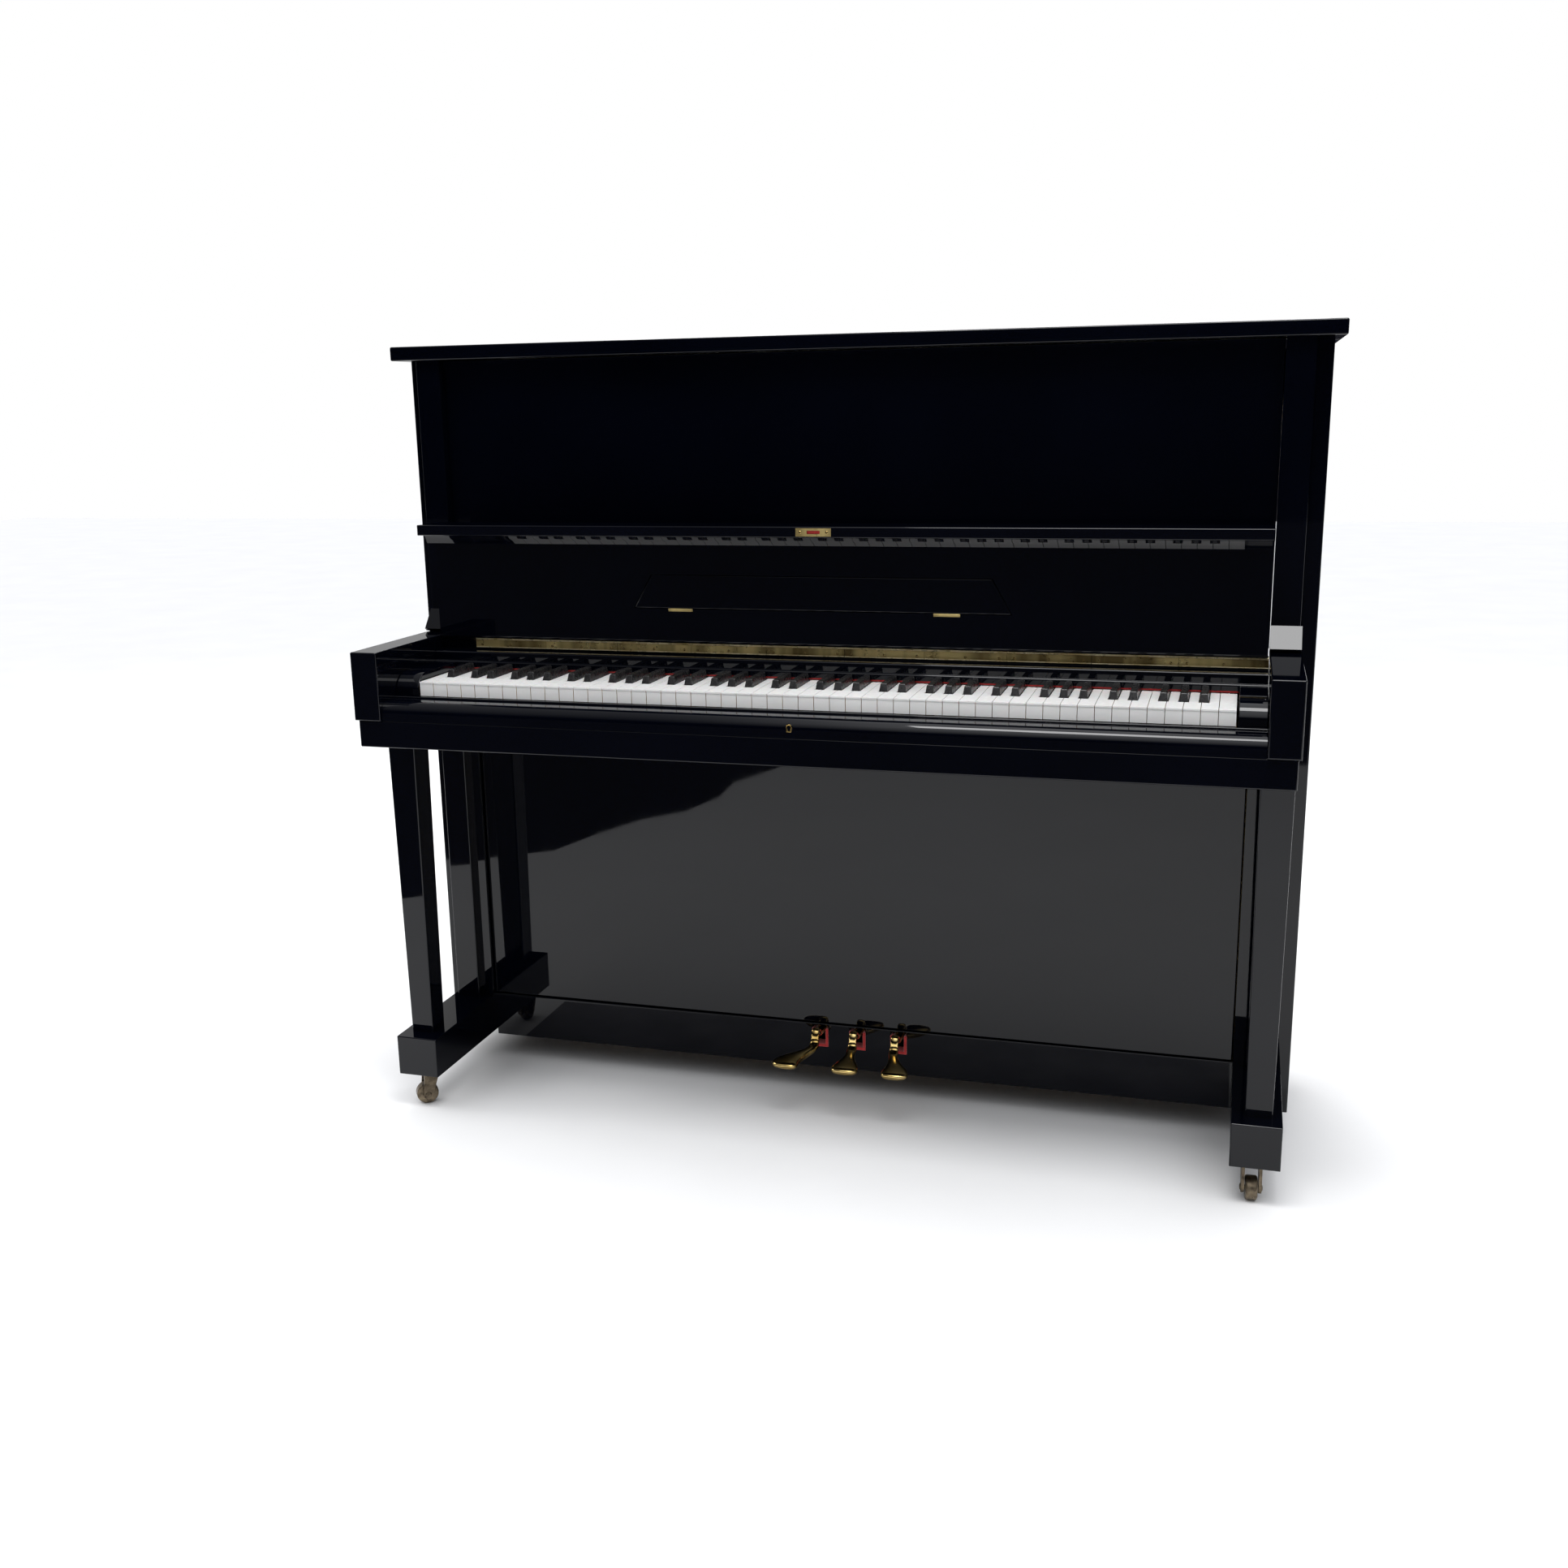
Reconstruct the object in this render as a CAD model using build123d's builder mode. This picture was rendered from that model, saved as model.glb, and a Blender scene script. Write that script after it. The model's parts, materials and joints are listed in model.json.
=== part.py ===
from build123d import *
import math
import os

# Upright piano, 88 keys, folding top, fallboard open with its book rest folded flush.
# Millimetres. +X to the player's right, +Y towards the wall, +Z up.
# Origin: middle of the footprint, on the floor.

# ---- driving dimensions -------------------------------------------------------------
WHITE_PITCH = 23.5
WHITES = 52
HEIGHT = 1238.0
DEPTH = 585.0
LID_WIDTH = 1464.0
LID_THICK = 22.0
CASE_WIDTH = 1434.0
BOARD_THICK = 24.0
CHEEK_IN = 652.0
CHEEK_OUT = 696.0
KEY_TOP = 727.0
KEY_DIP_ROOM = 22.0
ARM_TOP = 779.0
ARM_LOW = 673.0
KEYBED_LOW = 631.0
TOE_TOP = 127.0
TOE_LOW = 60.0
CASE_LOW = 50.0

# ---- depths, all counted from the front edge of the white keys ------------------------
KEY_FRONT = -DEPTH / 2 + 55.0


def behind(distance):
    """Y of a plane this far behind the front edge of the white keys."""
    return KEY_FRONT + distance


ARM_FRONT = behind(-55)
BED_FRONT = behind(-50)
LEG_FRONT = behind(34)
TOE_FRONT = behind(6)
LID_FRONT = behind(192)
PILASTER_FRONT = behind(204)
STILE_FRONT = behind(218)
PANEL_FRONT = behind(221)
LOWER_FRONT = behind(228)
SIDE_FRONT = behind(232)
KEY_TAIL = behind(128)
BALANCE = behind(215)
KEY_END = behind(372)
STRING_Y = behind(390)
PLATE_FRONT = behind(396)
BOARD_FRONT = behind(424)
POST_FRONT = behind(456)
POST_BACK = behind(518)
BACK = DEPTH / 2

KEYBOARD_HALF = WHITES * WHITE_PITCH / 2
OCTAVE = 7 * WHITE_PITCH
SLOT = OCTAVE / 12
LID_LOW = HEIGHT - LID_THICK
SIDE_IN = CASE_WIDTH / 2 - BOARD_THICK
PANEL_HALF = CHEEK_IN - 0.5
SIDES = (("left", -1), ("right", 1))

os.makedirs("parts", exist_ok=True)


def save(part, name):
    part.label = name
    export_step(part, f"parts/{name}.step")


def box_sketch(x_range, y_range):
    """A rectangle on the working plane from two corner ranges."""
    with Locations((sum(x_range) / 2, sum(y_range) / 2)):
        Rectangle(x_range[1] - x_range[0], y_range[1] - y_range[0])


def slab(x_range, y_range, z_range, mode=Mode.ADD):
    """A square block of the part being built."""
    with BuildSketch(Plane.XY.offset(z_range[0])) as base:
        box_sketch(x_range, y_range)
    extrude(base.sketch, amount=z_range[1] - z_range[0], mode=mode)


def profile(points, x_range, mode=Mode.ADD):
    """A side outline, (y, z) points, extruded across the width."""
    with BuildSketch(Plane.YZ.offset(x_range[0])) as side_view:
        with BuildLine():
            Polyline(*points, close=True)
        make_face()
    extrude(side_view.sketch, amount=x_range[1] - x_range[0], mode=mode)


def cross_bar(radius, y, z, x_range, mode=Mode.ADD):
    """A round bar lying along X."""
    with BuildSketch(Plane.YZ.offset(x_range[0])) as end_view:
        with Locations((y, z)):
            Circle(radius)
    extrude(end_view.sketch, amount=x_range[1] - x_range[0], mode=mode)


def slab_row(centres, half_width, y_range, z_range):
    """Equal square blocks side by side, made in one step."""
    with BuildSketch(Plane.XY.offset(z_range[0])) as row:
        with Locations([(centre, sum(y_range) / 2) for centre in centres]):
            Rectangle(2 * half_width, y_range[1] - y_range[0])
    extrude(row.sketch, amount=z_range[1] - z_range[0])


def mirrored(side, inner, outer):
    """The X range of something between two distances from the middle, on one side."""
    return (inner, outer) if side > 0 else (-outer, -inner)


# ---- top: front half folds back over the rear half --------------------------------------
HINGE_Y = (LID_FRONT + BACK) / 2
HINGE_Z = HEIGHT + 0.8
HINGE_RADIUS = 2.2
REBATE = 3.2
LID_HALF = LID_WIDTH / 2

for lid_name, lid_range, hinge_edge in (
    ("lid_front", (LID_FRONT, HINGE_Y - 1.3), HINGE_Y - 1.3),
    ("lid_rear", (HINGE_Y + 0.2, BACK), HINGE_Y + 0.2),
):
    with BuildPart() as lid:
        slab((-LID_HALF, LID_HALF), lid_range, (LID_LOW, HEIGHT))
        fillet(lid.edges().filter_by(Axis.Z), radius=3)
        long_edges = lid.edges().filter_by(Axis.X).sort_by(Axis.Y)
        fillet(long_edges[:2] if lid_name == "lid_front" else long_edges[-2:], radius=2.5)
        slab((-LID_HALF, LID_HALF), (hinge_edge - REBATE, hinge_edge + REBATE),
             (HEIGHT - REBATE, HEIGHT + 1), mode=Mode.SUBTRACT)
    save(lid.part, lid_name)

with BuildPart() as lid_hinge:
    slab((-LID_HALF + 30, LID_HALF - 30), (HINGE_Y - 1.0, HINGE_Y + 0.2), (LID_LOW + 3, HINGE_Z))
    cross_bar(HINGE_RADIUS, HINGE_Y, HINGE_Z, (-LID_HALF + 30, LID_HALF - 30))
save(lid_hinge.part, "lid_hinge")

# ---- case sides, pilasters, arms, legs and toe blocks ------------------------------------
NOSE_TOP = 815.0
NOSE_FRONT = behind(180)

for side_name, side in SIDES:
    with BuildPart() as side_board:
        slab(mirrored(side, SIDE_IN, CASE_WIDTH / 2), (SIDE_FRONT, POST_BACK), (CASE_LOW, LID_LOW))
        fillet(side_board.edges().filter_by(Axis.Z), radius=2.5)
    save(side_board.part, f"side_board_{side_name}")

    with BuildPart() as pilaster:
        slab(mirrored(side, CHEEK_IN, SIDE_IN), (PILASTER_FRONT, behind(250)), (TOE_TOP, LID_LOW))
        fillet(pilaster.edges().filter_by(Axis.Z).sort_by(Axis.Y)[:2], radius=1.5)
        profile(((PILASTER_FRONT + 1, NOSE_TOP), (PILASTER_FRONT, NOSE_TOP), (NOSE_FRONT, 784.5),
                 (NOSE_FRONT + 5, ARM_TOP + 1.5), (PILASTER_FRONT + 1, ARM_TOP + 1.5)),
                mirrored(side, CHEEK_IN, CHEEK_OUT - 0.5))
        slab(mirrored(side, CHEEK_IN - 20, CHEEK_IN), (STILE_FRONT, behind(250)),
             (TOE_TOP, KEYBED_LOW))
    save(pilaster.part, f"pilaster_{side_name}")

    with BuildPart() as arm:
        slab(mirrored(side, CHEEK_IN, CHEEK_OUT), (ARM_FRONT, PILASTER_FRONT), (ARM_LOW, ARM_TOP))
        fillet(arm.faces().sort_by(Axis.Y)[0].edges(), radius=2.5)
        fillet(arm.edges().filter_by(Axis.Y).group_by(Axis.Z)[-1], radius=2)
    save(arm.part, f"arm_{side_name}")

    leg_foot = mirrored(side, CHEEK_IN - 1, 689)
    leg_head = mirrored(side, CHEEK_IN - 5, 693)
    with BuildPart() as leg:
        with BuildSketch(Plane.XY.offset(TOE_TOP)):
            box_sketch(leg_foot, (LEG_FRONT, LEG_FRONT + 40))
        with BuildSketch(Plane.XY.offset(KEYBED_LOW)):
            box_sketch(leg_head, (LEG_FRONT - 3, LEG_FRONT + 45))
        loft()
        long_edges = leg.edges().filter_by(lambda edge: edge.length > 400)
        fillet(long_edges, radius=2)
    save(leg.part, f"leg_{side_name}")

# ---- keybed, key slip and the blocks at the keyboard's ends -------------------------------
BED_HALF = 692.0
SLIP_TOP = KEY_TOP - 25
BEAD_TOP = SLIP_TOP + 2.6
SLIP_BEAD = behind(-7.5)
SLIP_BACK = behind(-1.5)

with BuildPart() as keybed:
    slab((-BED_HALF, BED_HALF), (BED_FRONT, PILASTER_FRONT), (KEYBED_LOW, ARM_LOW))
    fillet(keybed.faces().sort_by(Axis.Y)[0].edges(), radius=2)
    slab((-CHEEK_IN + 0.5, CHEEK_IN - 0.5), (PILASTER_FRONT - 1, KEY_END + 14),
         (KEYBED_LOW, ARM_LOW))
save(keybed.part, "keybed")

LOCK_Z = 688.0
with BuildPart() as key_slip:
    slab((-PANEL_HALF, PANEL_HALF), (BED_FRONT, SLIP_BEAD), (ARM_LOW, SLIP_TOP))
    slip_top = key_slip.edges().filter_by(Axis.X).group_by(Axis.Z)[-1].sort_by(Axis.Y)
    fillet(slip_top[0], radius=18)
    slab((-PANEL_HALF, PANEL_HALF), (SLIP_BEAD, SLIP_BACK), (ARM_LOW, BEAD_TOP))
    fillet(key_slip.edges().filter_by(Axis.X).group_by(Axis.Z)[-1], radius=1.8)
    with BuildSketch(Plane.XZ.offset(-BED_FRONT)):
        with Locations((0, LOCK_Z)):
            Circle(6)
    extrude(amount=-24, mode=Mode.SUBTRACT)
save(key_slip.part, "key_slip")

with BuildPart() as key_lock:
    with BuildSketch(Plane.XZ.offset(-BED_FRONT - 20)):
        with Locations((0, LOCK_Z)):
            Circle(5.9)
    extrude(amount=20.8)
    with BuildSketch(Plane.XZ.offset(-BED_FRONT + 0.8)):
        with Locations((0, LOCK_Z + 1.2)):
            Circle(1.6)
        with Locations((0, LOCK_Z - 1.8)):
            Rectangle(1.6, 4.5)
    extrude(amount=-8, mode=Mode.SUBTRACT)
save(key_lock.part, "key_lock")

BLOCK_TOP = KEY_TOP + 12
BLOCK_ROUND = (behind(32), behind(-1))
BLOCK_SHOULDER = KEY_TOP - 12
with BuildPart() as key_blocks:
    for _, side in SIDES:
        with BuildSketch(Plane.YZ.offset(mirrored(side, KEYBOARD_HALF + 2.5, PANEL_HALF)[0])):
            with BuildLine():
                Polyline((BLOCK_ROUND[1], ARM_LOW), (behind(126), ARM_LOW), (behind(126), BLOCK_TOP),
                         (BLOCK_ROUND[0], BLOCK_TOP))
                RadiusArc((BLOCK_ROUND[0], BLOCK_TOP), (BLOCK_ROUND[1], BLOCK_SHOULDER), -34)
                Line((BLOCK_ROUND[1], BLOCK_SHOULDER), (BLOCK_ROUND[1], ARM_LOW))
            make_face()
        extrude(amount=PANEL_HALF - KEYBOARD_HALF - 2.5)
save(key_blocks.part, "key_blocks")

# ---- fallboard with its front rail, brass hinge, book rest and lock plate ------------------
FALL_Y = behind(163.5)
FALL_Z = 772.5
FALL_FACE = behind(148)
FALL_BACK = behind(166)
FALL_LOW = FALL_Z + 2.5
FALL_TOP = 961.0
FALL_HALF = CHEEK_IN - 2.5
LIP_FRONT = behind(94.5)
LIP_LOW = FALL_TOP - 16.5
COVE_TOP = behind(115)
COVE_FOOT = (behind(124), LIP_LOW - 14)
COVE_RADIUS = 55

NAME_LOW = KEY_TOP + 4
NAME_LEDGE = 741.0
NAME_TOP = 755.8
NAME_FRONT = behind(127)
NAME_FACE = behind(131)
NAME_BACK = behind(170)
NAME_RISER = behind(163)
SHELF_BACK = behind(218)
SHELF_TOP = FALL_Z - 3.5
SHELF_THICK = 10.0
NAME_WIDTH = (-PANEL_HALF, PANEL_HALF)
with BuildPart() as nameboard:
    slab(NAME_WIDTH, (NAME_FRONT, NAME_BACK), (NAME_LOW, NAME_LEDGE))
    fillet(nameboard.edges().filter_by(Axis.X).group_by(Axis.Y)[0].sort_by(Axis.Z)[-1], radius=3.5)
    slab(NAME_WIDTH, (NAME_FACE, NAME_BACK), (NAME_LEDGE, NAME_TOP))
    fillet(nameboard.edges().filter_by(Axis.X).group_by(Axis.Z)[-1].sort_by(Axis.Y)[0], radius=3)
    slab(NAME_WIDTH, (NAME_RISER, NAME_BACK), (NAME_TOP, SHELF_TOP))
    # A shelf under the open fallboard closes the way down to the keys.
    slab(NAME_WIDTH, (NAME_RISER, SHELF_BACK), (SHELF_TOP - SHELF_THICK, SHELF_TOP))
save(nameboard.part, "nameboard")

with BuildPart() as nameboard_felt:
    slab((-KEYBOARD_HALF - 1, KEYBOARD_HALF + 1), (NAME_FRONT + 1.5, NAME_FRONT + 30),
         (KEY_TOP + 1.3, NAME_LOW))
save(nameboard_felt.part, "nameboard_felt")

with BuildPart() as fallboard_hinge:
    slab(NAME_WIDTH, (NAME_RISER - 1.4, NAME_RISER), (NAME_TOP, FALL_Z - 1))
    cross_bar(HINGE_RADIUS, FALL_Y, FALL_Z, NAME_WIDTH)
save(fallboard_hinge.part, "fallboard_hinge")

REST_LOW = 830.0
REST_TOP = 882.0
REST_THICK = 8.0
REST_X = -10.0
REST_HALF_LOW = 297.0
REST_HALF_TOP = 267.0


def rest_outline(margin, narrower=0):
    """Trapezoid of the book rest on the fallboard's face, grown by a margin, its ends drawn in."""
    low, top = REST_HALF_LOW + margin - narrower, REST_HALF_TOP + margin - narrower
    with Locations((REST_X, 0)):
        Polygon((-low, REST_LOW - margin), (low, REST_LOW - margin),
                (top, REST_TOP + margin), (-top, REST_TOP + margin), align=None)


PLATE_X, PLATE_Z = 0.0, FALL_TOP - 8.2
PLATE_SIZE = (54.0, 12.0)

with BuildPart() as fallboard:
    with BuildSketch(Plane.YZ.offset(-FALL_HALF)):
        with BuildLine():
            Polyline((FALL_FACE + 5, FALL_LOW), (FALL_BACK, FALL_LOW), (FALL_BACK, FALL_TOP),
                     (LIP_FRONT, FALL_TOP), (LIP_FRONT, LIP_LOW), (COVE_TOP, LIP_LOW))
            RadiusArc((COVE_TOP, LIP_LOW), COVE_FOOT, COVE_RADIUS)
            Polyline(COVE_FOOT, (FALL_FACE, COVE_FOOT[1]), (FALL_FACE, FALL_LOW + 5))
            RadiusArc((FALL_FACE, FALL_LOW + 5), (FALL_FACE + 5, FALL_LOW), -5)
        make_face()
    extrude(amount=2 * FALL_HALF)
    front_rail = fallboard.edges().filter_by(Axis.X).group_by(Axis.Y)[0]
    fillet(front_rail, radius=2)
    with BuildSketch(Plane.XZ.offset(-FALL_FACE)):
        rest_outline(0.6)
    extrude(amount=-REST_THICK - 0.6, mode=Mode.SUBTRACT)
    with BuildSketch(Plane.XZ.offset(-LIP_FRONT)):
        with Locations((PLATE_X, PLATE_Z)):
            Rectangle(*PLATE_SIZE)
    extrude(amount=-1.2, mode=Mode.SUBTRACT)
    with BuildSketch(Plane.XZ.offset(-LIP_FRONT)):
        with Locations((PLATE_X, PLATE_Z)):
            Rectangle(20, 5)
    extrude(amount=-12, mode=Mode.SUBTRACT)
save(fallboard.part, "fallboard")

with BuildPart() as lock_plate:
    with BuildSketch(Plane.XZ.offset(-LIP_FRONT - 1.2)):
        with Locations((PLATE_X, PLATE_Z)):
            Rectangle(*PLATE_SIZE)
            Rectangle(20, 5, mode=Mode.SUBTRACT)
    extrude(amount=1.5)
save(lock_plate.part, "fallboard_lock_plate")

# The rest's ends slope inwards towards its back, so that they swing clear of the pocket.
REST_END_SLOPE = 7.0
with BuildPart() as book_rest:
    with BuildSketch(Plane.XZ.offset(-FALL_FACE - REST_THICK)):
        rest_outline(0, REST_END_SLOPE)
    with BuildSketch(Plane.XZ.offset(-FALL_FACE + 0.4)):
        rest_outline(0)
    loft()
save(book_rest.part, "book_rest")

REST_HINGE_Y = FALL_FACE - 0.6
REST_HINGE_Z = REST_LOW - 0.3
with BuildPart() as rest_hinges:
    for hinge_x in (-220, 200):
        cross_bar(1.0, REST_HINGE_Y - 0.5, REST_HINGE_Z - 0.9, (REST_X + hinge_x - 20, REST_X + hinge_x + 20))
        slab((REST_X + hinge_x - 20, REST_X + hinge_x + 20), (FALL_FACE - 0.8, FALL_FACE),
             (REST_LOW - 8, REST_LOW - 1))
save(rest_hinges.part, "book_rest_hinges")

# ---- front panels and bottom ---------------------------------------------------------------
with BuildPart() as upper_panel:
    slab((-PANEL_HALF, PANEL_HALF), (PANEL_FRONT, behind(243)), (FALL_Z + 6, LID_LOW - 1))
save(upper_panel.part, "upper_panel")

LOWER_HALF = CHEEK_IN - 21.5
with BuildPart() as lower_panel:
    slab((-LOWER_HALF, LOWER_HALF), (LOWER_FRONT, behind(246)), (TOE_TOP + 3, KEYBED_LOW - 1))
    fillet(lower_panel.faces().sort_by(Axis.Y)[0].edges(), radius=1.5)
save(lower_panel.part, "lower_panel")

PEDAL_X = (-34.0, 30.0, 100.0)
SLOT_HALF = 14.0
SLOT_LOW, SLOT_TOP = 86.0, 124.0
RAIL_HALF = CHEEK_IN - 20
BOTTOM_TOP = 85.0
with BuildPart() as bottom_board:
    slab((-RAIL_HALF, RAIL_HALF), (behind(229), behind(250)), (CASE_LOW, TOE_TOP))
    fillet(bottom_board.edges().filter_by(Axis.X).group_by(Axis.Y)[0].sort_by(Axis.Z)[-1], radius=2)
    slab((-RAIL_HALF, RAIL_HALF), (behind(249), behind(455)), (TOE_LOW, BOTTOM_TOP))
    for pedal_x in PEDAL_X:
        slab((pedal_x - SLOT_HALF, pedal_x + SLOT_HALF), (behind(228), behind(251)),
             (SLOT_LOW, SLOT_TOP), mode=Mode.SUBTRACT)
save(bottom_board.part, "bottom_board")

with BuildPart() as pedal_bushings:
    for pedal_x in PEDAL_X:
        slab((pedal_x - SLOT_HALF, pedal_x + SLOT_HALF), (behind(227.5), behind(250)),
             (SLOT_LOW, SLOT_TOP - 6))
        slab((pedal_x - SLOT_HALF + 5, pedal_x + SLOT_HALF - 5), (behind(227), behind(251)),
             (SLOT_LOW + 5, SLOT_TOP), mode=Mode.SUBTRACT)
save(pedal_bushings.part, "pedal_bushings")

# ---- toe blocks and casters ------------------------------------------------------------------
CASTER_X = 664.0
FRONT_CASTER_Y = behind(42)
REAR_CASTER_Y = behind(486)
WHEEL_RADIUS = 18.0
WHEEL_HALF = 8.5
AXLE_RADIUS = 3.0
RUNNING_CLEARANCE = 0.06
KING_RADIUS = 5.0
TRAIL = 9.0
FORK_TOP = TOE_LOW - 0.4

for side_name, side in SIDES:
    with BuildPart() as toe_block:
        slab(mirrored(side, RAIL_HALF, 703), (TOE_FRONT, SIDE_FRONT), (TOE_LOW, TOE_TOP))
        fillet(toe_block.faces().sort_by(Axis.Y)[0].edges(), radius=2)
        slab(mirrored(side, RAIL_HALF, SIDE_IN), (SIDE_FRONT, POST_FRONT), (TOE_LOW, TOE_TOP))
        with BuildSketch(Plane.XY.offset(TOE_LOW)):
            with Locations((side * CASTER_X, FRONT_CASTER_Y)):
                Circle(KING_RADIUS + RUNNING_CLEARANCE)
        extrude(amount=26, mode=Mode.SUBTRACT)
    save(toe_block.part, f"toe_block_{side_name}")

FORK_IN = WHEEL_HALF + 1.5
FORK_OUT = FORK_IN + 4.5


def caster_frame(x, y, top, turn):
    """The place of a caster: its top plate's centre, turned about the vertical."""
    return Plane(origin=(x, y, top), x_dir=(math.cos(turn), math.sin(turn), 0), z_dir=(0, 0, 1))


def fork_body(place, top, fork_trail):
    """A plate and two cheeks around the wheel, with the axle through them."""
    with BuildSketch(place.offset(-5)) as plate:
        Circle(17)
    extrude(plate.sketch, amount=5)
    drop = top - WHEEL_RADIUS
    for cheek in (-1, 1):
        cheek_plane = Plane(origin=place.from_local_coords((cheek * (FORK_IN + FORK_OUT) / 2, 0, 0)),
                            x_dir=place.y_dir, z_dir=place.x_dir)
        with BuildSketch(cheek_plane) as cheek_view:
            with Locations((-fork_trail, -drop)):
                Circle(8)
            Polygon((-14, -4), (11, -4), (-fork_trail + 8, -drop), (-fork_trail - 8, -drop), align=None)
        extrude(cheek_view.sketch, amount=(FORK_OUT - FORK_IN) / 2, both=True)
    axle_plane = Plane(origin=place.from_local_coords((0, -fork_trail, -drop)),
                       x_dir=place.y_dir, z_dir=place.x_dir)
    with BuildSketch(axle_plane) as axle:
        Circle(AXLE_RADIUS)
    extrude(axle.sketch, amount=FORK_OUT + 1.5, both=True)


def wheel_body(place, top, fork_trail):
    """A solid metal wheel with rounded tread, bored for its axle."""
    drop = top - WHEEL_RADIUS
    wheel_plane = Plane(origin=place.from_local_coords((0, -fork_trail, -drop)),
                        x_dir=place.y_dir, z_dir=place.x_dir)
    with BuildSketch(wheel_plane) as rim:
        Circle(WHEEL_RADIUS)
    extrude(rim.sketch, amount=WHEEL_HALF, both=True)
    with BuildSketch(wheel_plane) as bore:
        Circle(AXLE_RADIUS + RUNNING_CLEARANCE)
    extrude(bore.sketch, amount=WHEEL_HALF + 1, both=True, mode=Mode.SUBTRACT)


def round_tread(wheel_edges):
    """The two outer rims of a wheel."""
    return wheel_edges.filter_by(GeomType.CIRCLE).sort_by(SortBy.RADIUS)[-2:]


FRONT_TURN = {"left": math.radians(-52), "right": math.radians(4)}
for side_name, side in SIDES:
    front = caster_frame(side * CASTER_X, FRONT_CASTER_Y, FORK_TOP, FRONT_TURN[side_name])
    with BuildPart() as fork:
        fork_body(front, FORK_TOP, TRAIL)
        with BuildSketch(front):
            Circle(KING_RADIUS)
        extrude(amount=25)
    save(fork.part, f"caster_fork_front_{side_name}")

    with BuildPart() as wheel:
        wheel_body(front, FORK_TOP, TRAIL)
        fillet(round_tread(wheel.edges()), radius=3)
    save(wheel.part, f"caster_wheel_front_{side_name}")

REAR_TOP = 62.0
with BuildPart() as rear_forks:
    for _, side in SIDES:
        fork_body(caster_frame(side * CASTER_X, REAR_CASTER_Y, REAR_TOP, 0), REAR_TOP, 0)
save(rear_forks.part, "caster_forks_rear")

for side_name, side in SIDES:
    with BuildPart() as rear_wheel:
        wheel_body(caster_frame(side * CASTER_X, REAR_CASTER_Y, REAR_TOP, 0), REAR_TOP, 0)
        fillet(round_tread(rear_wheel.edges()), radius=3)
    save(rear_wheel.part, f"caster_wheel_rear_{side_name}")

# ---- pedals -------------------------------------------------------------------------------------
PEDAL_PIVOT = (behind(330), 112.0)
PEDAL_NAMES = ("left", "middle", "right")
TOE_SWEEP = (-34.0, 2.0, 14.0)
PEDAL_HALF = 6.5
TOE_Z = 96.0
TOE_TIP = behind(118)

for pedal_name, pedal_x, sweep in zip(PEDAL_NAMES, PEDAL_X, TOE_SWEEP):
    with BuildPart() as pedal:
        profile(((behind(380), 106), (behind(216), 106), (behind(206), 98), (behind(190), 98),
                 (behind(190), 108), (behind(196), 128), (behind(205), 134), (behind(214), 130),
                 (behind(220), 118), (behind(380), 118)),
                (pedal_x - PEDAL_HALF, pedal_x + PEDAL_HALF))
        with BuildSketch(Plane.XY.offset(TOE_Z - 7)):
            with BuildLine():
                Polyline((pedal_x - PEDAL_HALF, behind(200)), (pedal_x + PEDAL_HALF, behind(200)),
                         (pedal_x + PEDAL_HALF, behind(182)), (pedal_x + sweep + 19, TOE_TIP + 24))
                ThreePointArc((pedal_x + sweep + 19, TOE_TIP + 24), (pedal_x + sweep, TOE_TIP),
                              (pedal_x + sweep - 19, TOE_TIP + 24))
                Polyline((pedal_x + sweep - 19, TOE_TIP + 24), (pedal_x - PEDAL_HALF, behind(182)),
                         (pedal_x - PEDAL_HALF, behind(200)))
            make_face()
        extrude(amount=13)
        cross_bar(3.0 + RUNNING_CLEARANCE, *PEDAL_PIVOT,
                  (pedal_x - PEDAL_HALF - 1, pedal_x + PEDAL_HALF + 1), mode=Mode.SUBTRACT)
    save(pedal.part, f"pedal_{pedal_name}")

with BuildPart() as pedal_mounts:
    for pedal_x in PEDAL_X:
        for cheek in (-1, 1):
            cheek_range = mirrored(cheek, PEDAL_HALF + 1.5, PEDAL_HALF + 5)
            profile(((behind(312), BOTTOM_TOP), (behind(348), BOTTOM_TOP),
                     (behind(338), 122), (behind(322), 122)),
                    (pedal_x + cheek_range[0], pedal_x + cheek_range[1]))
        cross_bar(3.0, *PEDAL_PIVOT, (pedal_x - PEDAL_HALF - 6, pedal_x + PEDAL_HALF + 6))
        slab((pedal_x - PEDAL_HALF - 6, pedal_x + PEDAL_HALF + 6), (behind(308), behind(352)),
             (BOTTOM_TOP, BOTTOM_TOP + 3))
save(pedal_mounts.part, "pedal_mounts")

# ---- keyboard --------------------------------------------------------------------------------------
KEY_GAP = 0.9
SLOT_GAP = 1.3
WHITE_LOW = KEY_TOP - KEY_DIP_ROOM
HEAD_LENGTH = 49.5
BLACK_HALF = 6.5
BLACK_TOP_HALF = 4.8
BLACK_CLEAR = 0.75
BLACK_HEIGHT = 12.0
BLACK_END = behind(124)
WHITE_SLOTS = (0, 2, 4, 5, 7, 9, 11)
SHARPS = {1: "c_sharp", 3: "d_sharp", 6: "f_sharp", 8: "g_sharp", 10: "a_sharp"}
NATURALS = ("c", "d", "e", "f", "g", "a", "b")
FIRST_OCTAVE_LEFT = -KEYBOARD_HALF - 5 * WHITE_PITCH
MIDDLE = 4
STICK_DROP = 3.0


def slot_range(octave, slot, gap=SLOT_GAP):
    """X range of one of the twelve equal key sticks of an octave."""
    left = FIRST_OCTAVE_LEFT + octave * OCTAVE + slot * SLOT
    return left + gap / 2, left + SLOT - gap / 2


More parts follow.
